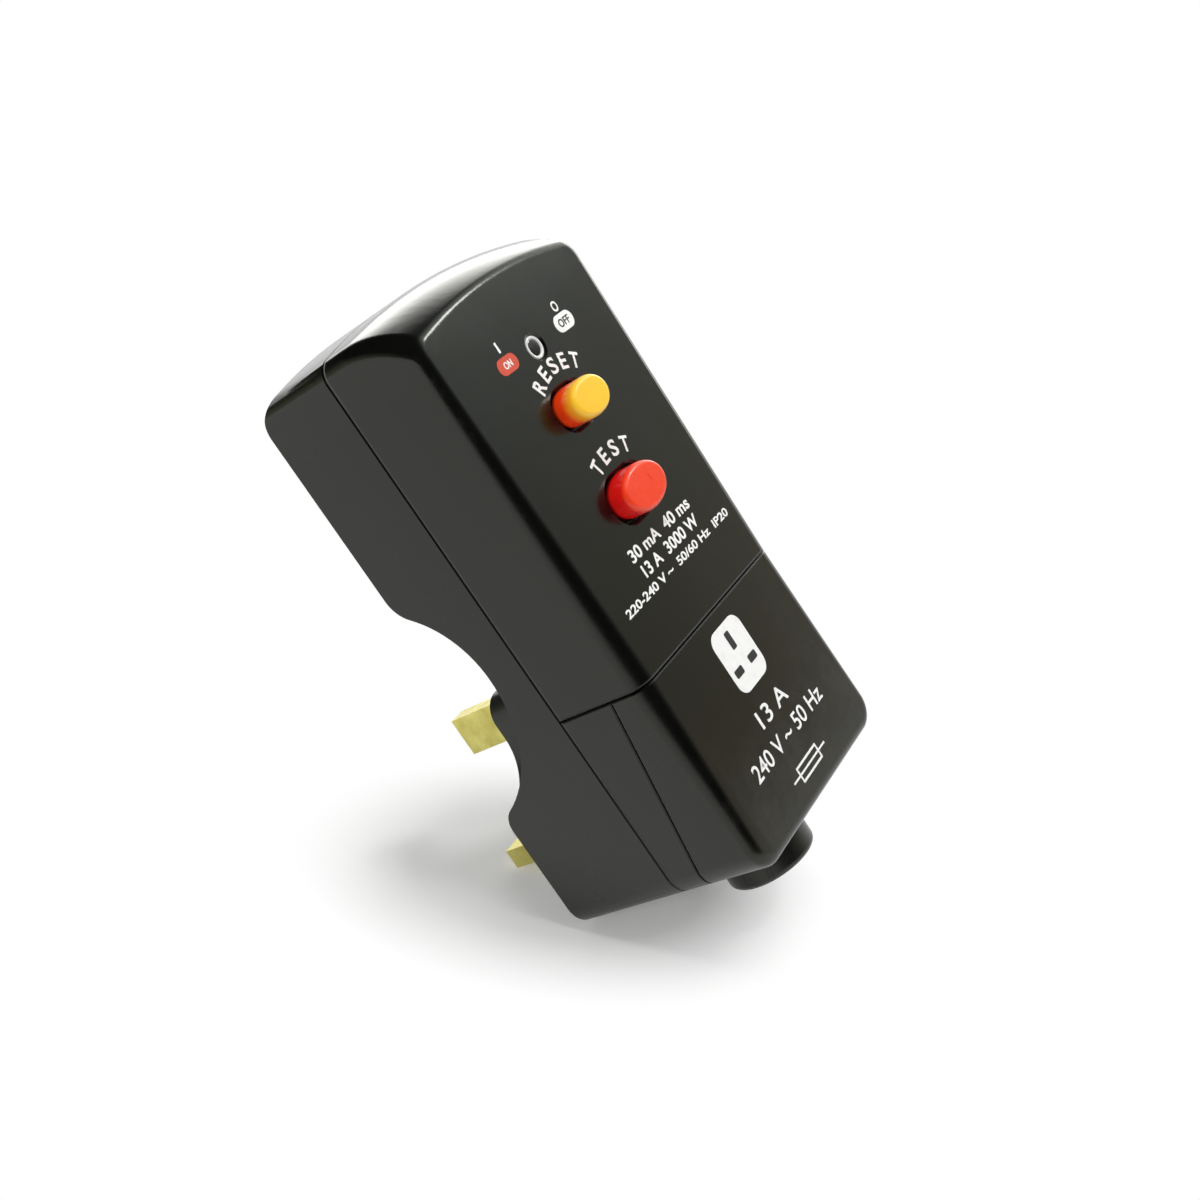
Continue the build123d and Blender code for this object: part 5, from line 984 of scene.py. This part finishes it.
PIN_ANGLE = 20.0
BRASS_NODES = [
    "fuse_clips", "line_strap", "neutral_strap", "earth_strap", "line_terminal", "neutral_terminal",
    "earth_terminal", "load_links", "outgoing_straps", "test_leaf", "leaf_bracket", "test_pad",
    "moving_contacts", "fixed_contacts",
]
SMOOTH_STEEL_NODES = [
    "case_screws", "cover_screws", "chassis_screws", "terminal_screws", "clamp_screws", "fuse_caps",
    "carriage_spring",
]
SPRINGS = [  # node, joint, travel, axis, whether it rests at its high end
    ("reset_spring", "reset_press", 3 * MM, 1, True),
    ("plunger_spring", "plunger_pull", 1 * MM, 2, False),
]
STEEL_NODES = ["leaf_pin", "flag_pin", "coil_yoke", "plunger", "lever_pin"]


def press_spring(piece, axis, high_end):
    """Gives a coil spring a mesh of its own. It works out the end the spring rests on and its axis,
    but does not shorten the spring.
    """
    places = [vertex.co[axis] for vertex in piece.data.vertices]
    low, high = min(places), max(places)
    seat = Vector((0.0, 0.0, 0.0))
    seat[axis] = high if high_end else low
    way = Vector((0.0, 0.0, 0.0))
    way[axis] = 1.0
    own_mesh(piece)


class PLUG_OT_metal(bpy.types.Operator):
    """Finishes the pins, straps, terminals, springs and screws."""

    bl_idname = "plug.metal"
    bl_label = "Metal parts"

    def execute(self, context):
        colours = context.scene.plug_colours
        pins = brass("pin_brass", colours.pins)
        for node in ("line_pin", "neutral_pin", "earth_pin"):
            dress([finished_copy(node, PIN_ANGLE)], pins)
        dress(BRASS_NODES, brass("strap_brass", (0.62, 0.48, 0.20)))
        plated = steel("plated_steel", (0.60, 0.60, 0.62), 0.32)
        for node in SMOOTH_STEEL_NODES:
            dress([finished_copy(node)], plated)
        for node, joint, travel, axis, high_end in SPRINGS:
            spring = finished_copy(node)
            press_spring(spring, axis, high_end)
            dress([spring], plated)
        dress(STEEL_NODES, plated)
        return {"FINISHED"}


NYLON_NODES = ["contact_carriage", "coil_bobbin", "latch_lever"]
INNER_PLASTICS = [  # nodes, material, colour, roughness, grain
    (["sensing_core"], "core_ferrite", (0.03, 0.03, 0.032), 0.55, 1.0),
    (["film_capacitors"], "capacitor_yellow", (0.62, 0.40, 0.05), 0.35, 0.3),
    (["varistor"], "varistor_blue", (0.04, 0.10, 0.36), 0.28, 0.3),
    (["chip", "thyristor"], "epoxy_black", (0.015, 0.015, 0.016), 0.55, 1.0),
    (NYLON_NODES, "nylon_white", (0.72, 0.70, 0.64), 0.42, 0.4),
    (["flag_bracket", "cord_clamp_bar"], "inner_grey", (0.05, 0.05, 0.052), 0.45, 0.4),
    (["indicator_flag"], "flag_black", (0.006, 0.006, 0.006), 0.45, 0.3),
    (["flag_plate"], "flag_orange", (0.90, 0.20, 0.01), 0.40, 0.3),
    (["fuse_tube"], "fuse_ceramic", (0.72, 0.69, 0.60), 0.25, 0.6),
]


class PLUG_OT_works(bpy.types.Operator):
    """Finishes the pieces inside: the board, its components and the trip mechanism."""

    bl_idname = "plug.works"
    bl_label = "Inner works"

    def execute(self, context):
        dress(["circuit_board"], board_finish("board_green", (0.02, 0.10, 0.035)))
        dress(["core_winding"], enamelled_wire("core_copper", (0.50, 0.17, 0.06), "Z"))
        dress(["coil_winding"], enamelled_wire("coil_copper", (0.50, 0.17, 0.06), "Z"))
        dress(["resistors"], banded_resistor("resistor_tan", (0.50, 0.36, 0.18)))
        for nodes, name, color, rough, grain in INNER_PLASTICS:
            dress(nodes, moulded_plastic(name, color, rough, grain))
        return {"FINISHED"}


ARCS = [  # word, middle's x and z and radius in mm, first letter's angle, step between letters
    ("RESET", 0.8, 62.2, 12.4, -28.4, 14.2),
    ("TEST", 0.7, 43.7, 14.0, -20.7, 13.75),
]
UPPER_LINES = [  # words, x, z, height, width; lengths in these tables are in mm
    ("I", -8.7, 82.2, 1.9, 0.5),
    ("O", 10.1, 82.2, 1.9, 1.7),
    ("30 mA  40 ms", 0.7, 42.0, 2.3, 21.6),
    ("13 A  3000 W", 0.9, 38.7, 2.3, 20.2),
    ("220-240 V ~  50/60 Hz  IP20", 0.5, 35.6, 1.6, 38.6),
]
BADGES = [  # name, x, z, width, height, corner, slot
    ("on_badge", -8.7, 79.1, 5.6, 2.9, 1.42, "orange_plastic"),
    ("off_badge", 10.1, 79.3, 5.7, 3.1, 1.52, "white_plastic"),
]
BADGE_WORDS = [  # word, x, z, height, width, slot
    ("ON", -8.7, 79.1, 1.25, 2.3, "white_plastic"),
    ("OFF", 10.1, 79.3, 1.5, 3.4, "black_plastic"),
]
WORD_LIFT = 0.03 * MM
SOCKET_SIGN = (0.2 * MM, 16.4 * MM, 10.6 * MM, 12.0 * MM, 2.4 * MM)  # x, z, width, height, corner
SOCKET_SLOTS = [  # x, z, width, height
    (0.2, 19.2, 1.6, 3.4),
    (-2.5, 14.2, 2.8, 1.5),
    (2.9, 14.2, 2.8, 1.5),
]
SLOT_CORNER = 0.35 * MM
SLOT_LIFT = 0.02 * MM
LOWER_WEIGHT = 0.008
LOWER_LINES = [  # words, x, z, height, width
    ("13 A", -0.1, 5.6, 3.3, 11.0),
    ("240 V ~ 50 Hz", -0.4, 0.1, 3.2, 28.4),
]
FUSE_BARS = [  # x, z, width, height
    (-0.1, -5.5, 8.4, 0.42),
    (-0.1, -8.1, 8.4, 0.42),
    (-4.1, -6.8, 0.42, 2.2),
    (3.9, -6.8, 0.42, 2.2),
    (-0.1, -6.8, 7.6, 0.36),
    (-5.6, -6.8, 2.6, 0.36),
    (5.4, -6.8, 2.6, 0.36),
]


class PLUG_OT_legends(bpy.types.Operator):
    """Prints the plain legends, the socket sign and the two indicator badges on the front."""

    bl_idname = "plug.legends"
    bl_label = "Legends"

    def execute(self, context):
        colours = context.scene.plug_colours
        inks = {
            "white_plastic": printed_ink("legend_white", colours.ink),
            "black_plastic": printed_ink("legend_black", (0.012, 0.012, 0.012)),
            "orange_plastic": printed_ink("badge_orange", colours.badge),
        }
        self.upper(context.scene.plug_print.letter_height, inks)
        self.badges(inks)
        self.lower(inks)
        return {"FINISHED"}

    def upper(self, tall, inks):
        """The words over the buttons and the ratings below them."""
        pieces = []
        for word, x, z, radius, first, step in ARCS:
            pieces += arc_words(word, x * MM, z * MM, radius * MM, first, step, tall)
        for words, x, z, high, wide in UPPER_LINES:
            pieces.append(printed_words(words, x * MM, z * MM, high * MM, wide * MM))
        legends = join(pieces, "upper_legends")
        mount_print(legends, "housing", inks["white_plastic"])

    def badges(self, inks):
        """The two badges beside the window with their words."""
        for name, x, z, wide, tall, corner, slot in BADGES:
            badge = printed_plate(x * MM, z * MM, wide * MM, tall * MM, corner * MM)
            badge.name = name
            mount_print(badge, "housing", inks[slot])
        for letters, x, z, tall, wide, slot in BADGE_WORDS:
            word = printed_words(letters, x * MM, z * MM, tall * MM, wide * MM, lift=WORD_LIFT)
            word.name = f"{letters.lower()}_word"
            mount_print(word, "housing", inks[slot])

    def lower(self, inks):
        """The socket sign, the ratings and the fuse sign on the terminal cover."""
        pieces = [printed_plate(*SOCKET_SIGN)]
        for words, x, z, high, wide in LOWER_LINES:
            line = printed_words(words, x * MM, z * MM, high * MM, wide * MM, weight=LOWER_WEIGHT)
            pieces.append(line)
        for x, z, wide, tall in FUSE_BARS:
            pieces.append(printed_plate(x * MM, z * MM, wide * MM, tall * MM, 0.0))
        legends = join(pieces, "lower_legends")
        mount_print(legends, "cover", inks["white_plastic"])
        slots = [
            printed_plate(x * MM, z * MM, wide * MM, tall * MM, SLOT_CORNER, lift=SLOT_LIFT)
            for x, z, wide, tall in SOCKET_SLOTS
        ]
        slots = join(slots, "socket_sign_slots")
        mount_print(slots, "cover", inks["black_plastic"])


class PLUG_PT_panel(bpy.types.Panel):
    """Lists the steps that finish the plug."""

    bl_idname = "PLUG_PT_panel"
    bl_label = "Plug"
    bl_space_type = "VIEW_3D"
    bl_region_type = "UI"
    bl_category = "Plug"

    def draw(self, context):
        for step in STEPS:
            self.layout.operator(step.bl_idname)


STEPS = [
    PLUG_OT_studio,
    PLUG_OT_shells,
    PLUG_OT_buttons,
    PLUG_OT_window,
    PLUG_OT_metal,
    PLUG_OT_works,
    PLUG_OT_legends,
]
GROUPS = [
    ("plug_camera", PlugCamera),
    ("plug_studio", PlugStudio),
    ("plug_colours", PlugColours),
    ("plug_print", PlugPrint),
    ("plug_shape", PlugShape),
]


def register():
    for name, group in GROUPS:
        bpy.utils.register_class(group)
        setattr(bpy.types.Scene, name, bpy.props.PointerProperty(type=group))
    for step in STEPS + [PLUG_PT_panel]:
        bpy.utils.register_class(step)


def unregister():
    for step in reversed(STEPS + [PLUG_PT_panel]):
        bpy.utils.unregister_class(step)
    for name, group in reversed(GROUPS):
        delattr(bpy.types.Scene, name)
        bpy.utils.unregister_class(group)


def main():
    """Registers the add-on and runs its steps in order."""
    register()
    bpy.ops.plug.studio()
    bpy.ops.plug.shells()
    bpy.ops.plug.buttons()
    bpy.ops.plug.window()
    bpy.ops.plug.metal()
    bpy.ops.plug.works()
    bpy.ops.plug.legends()


if __name__ == "__main__":
    main()
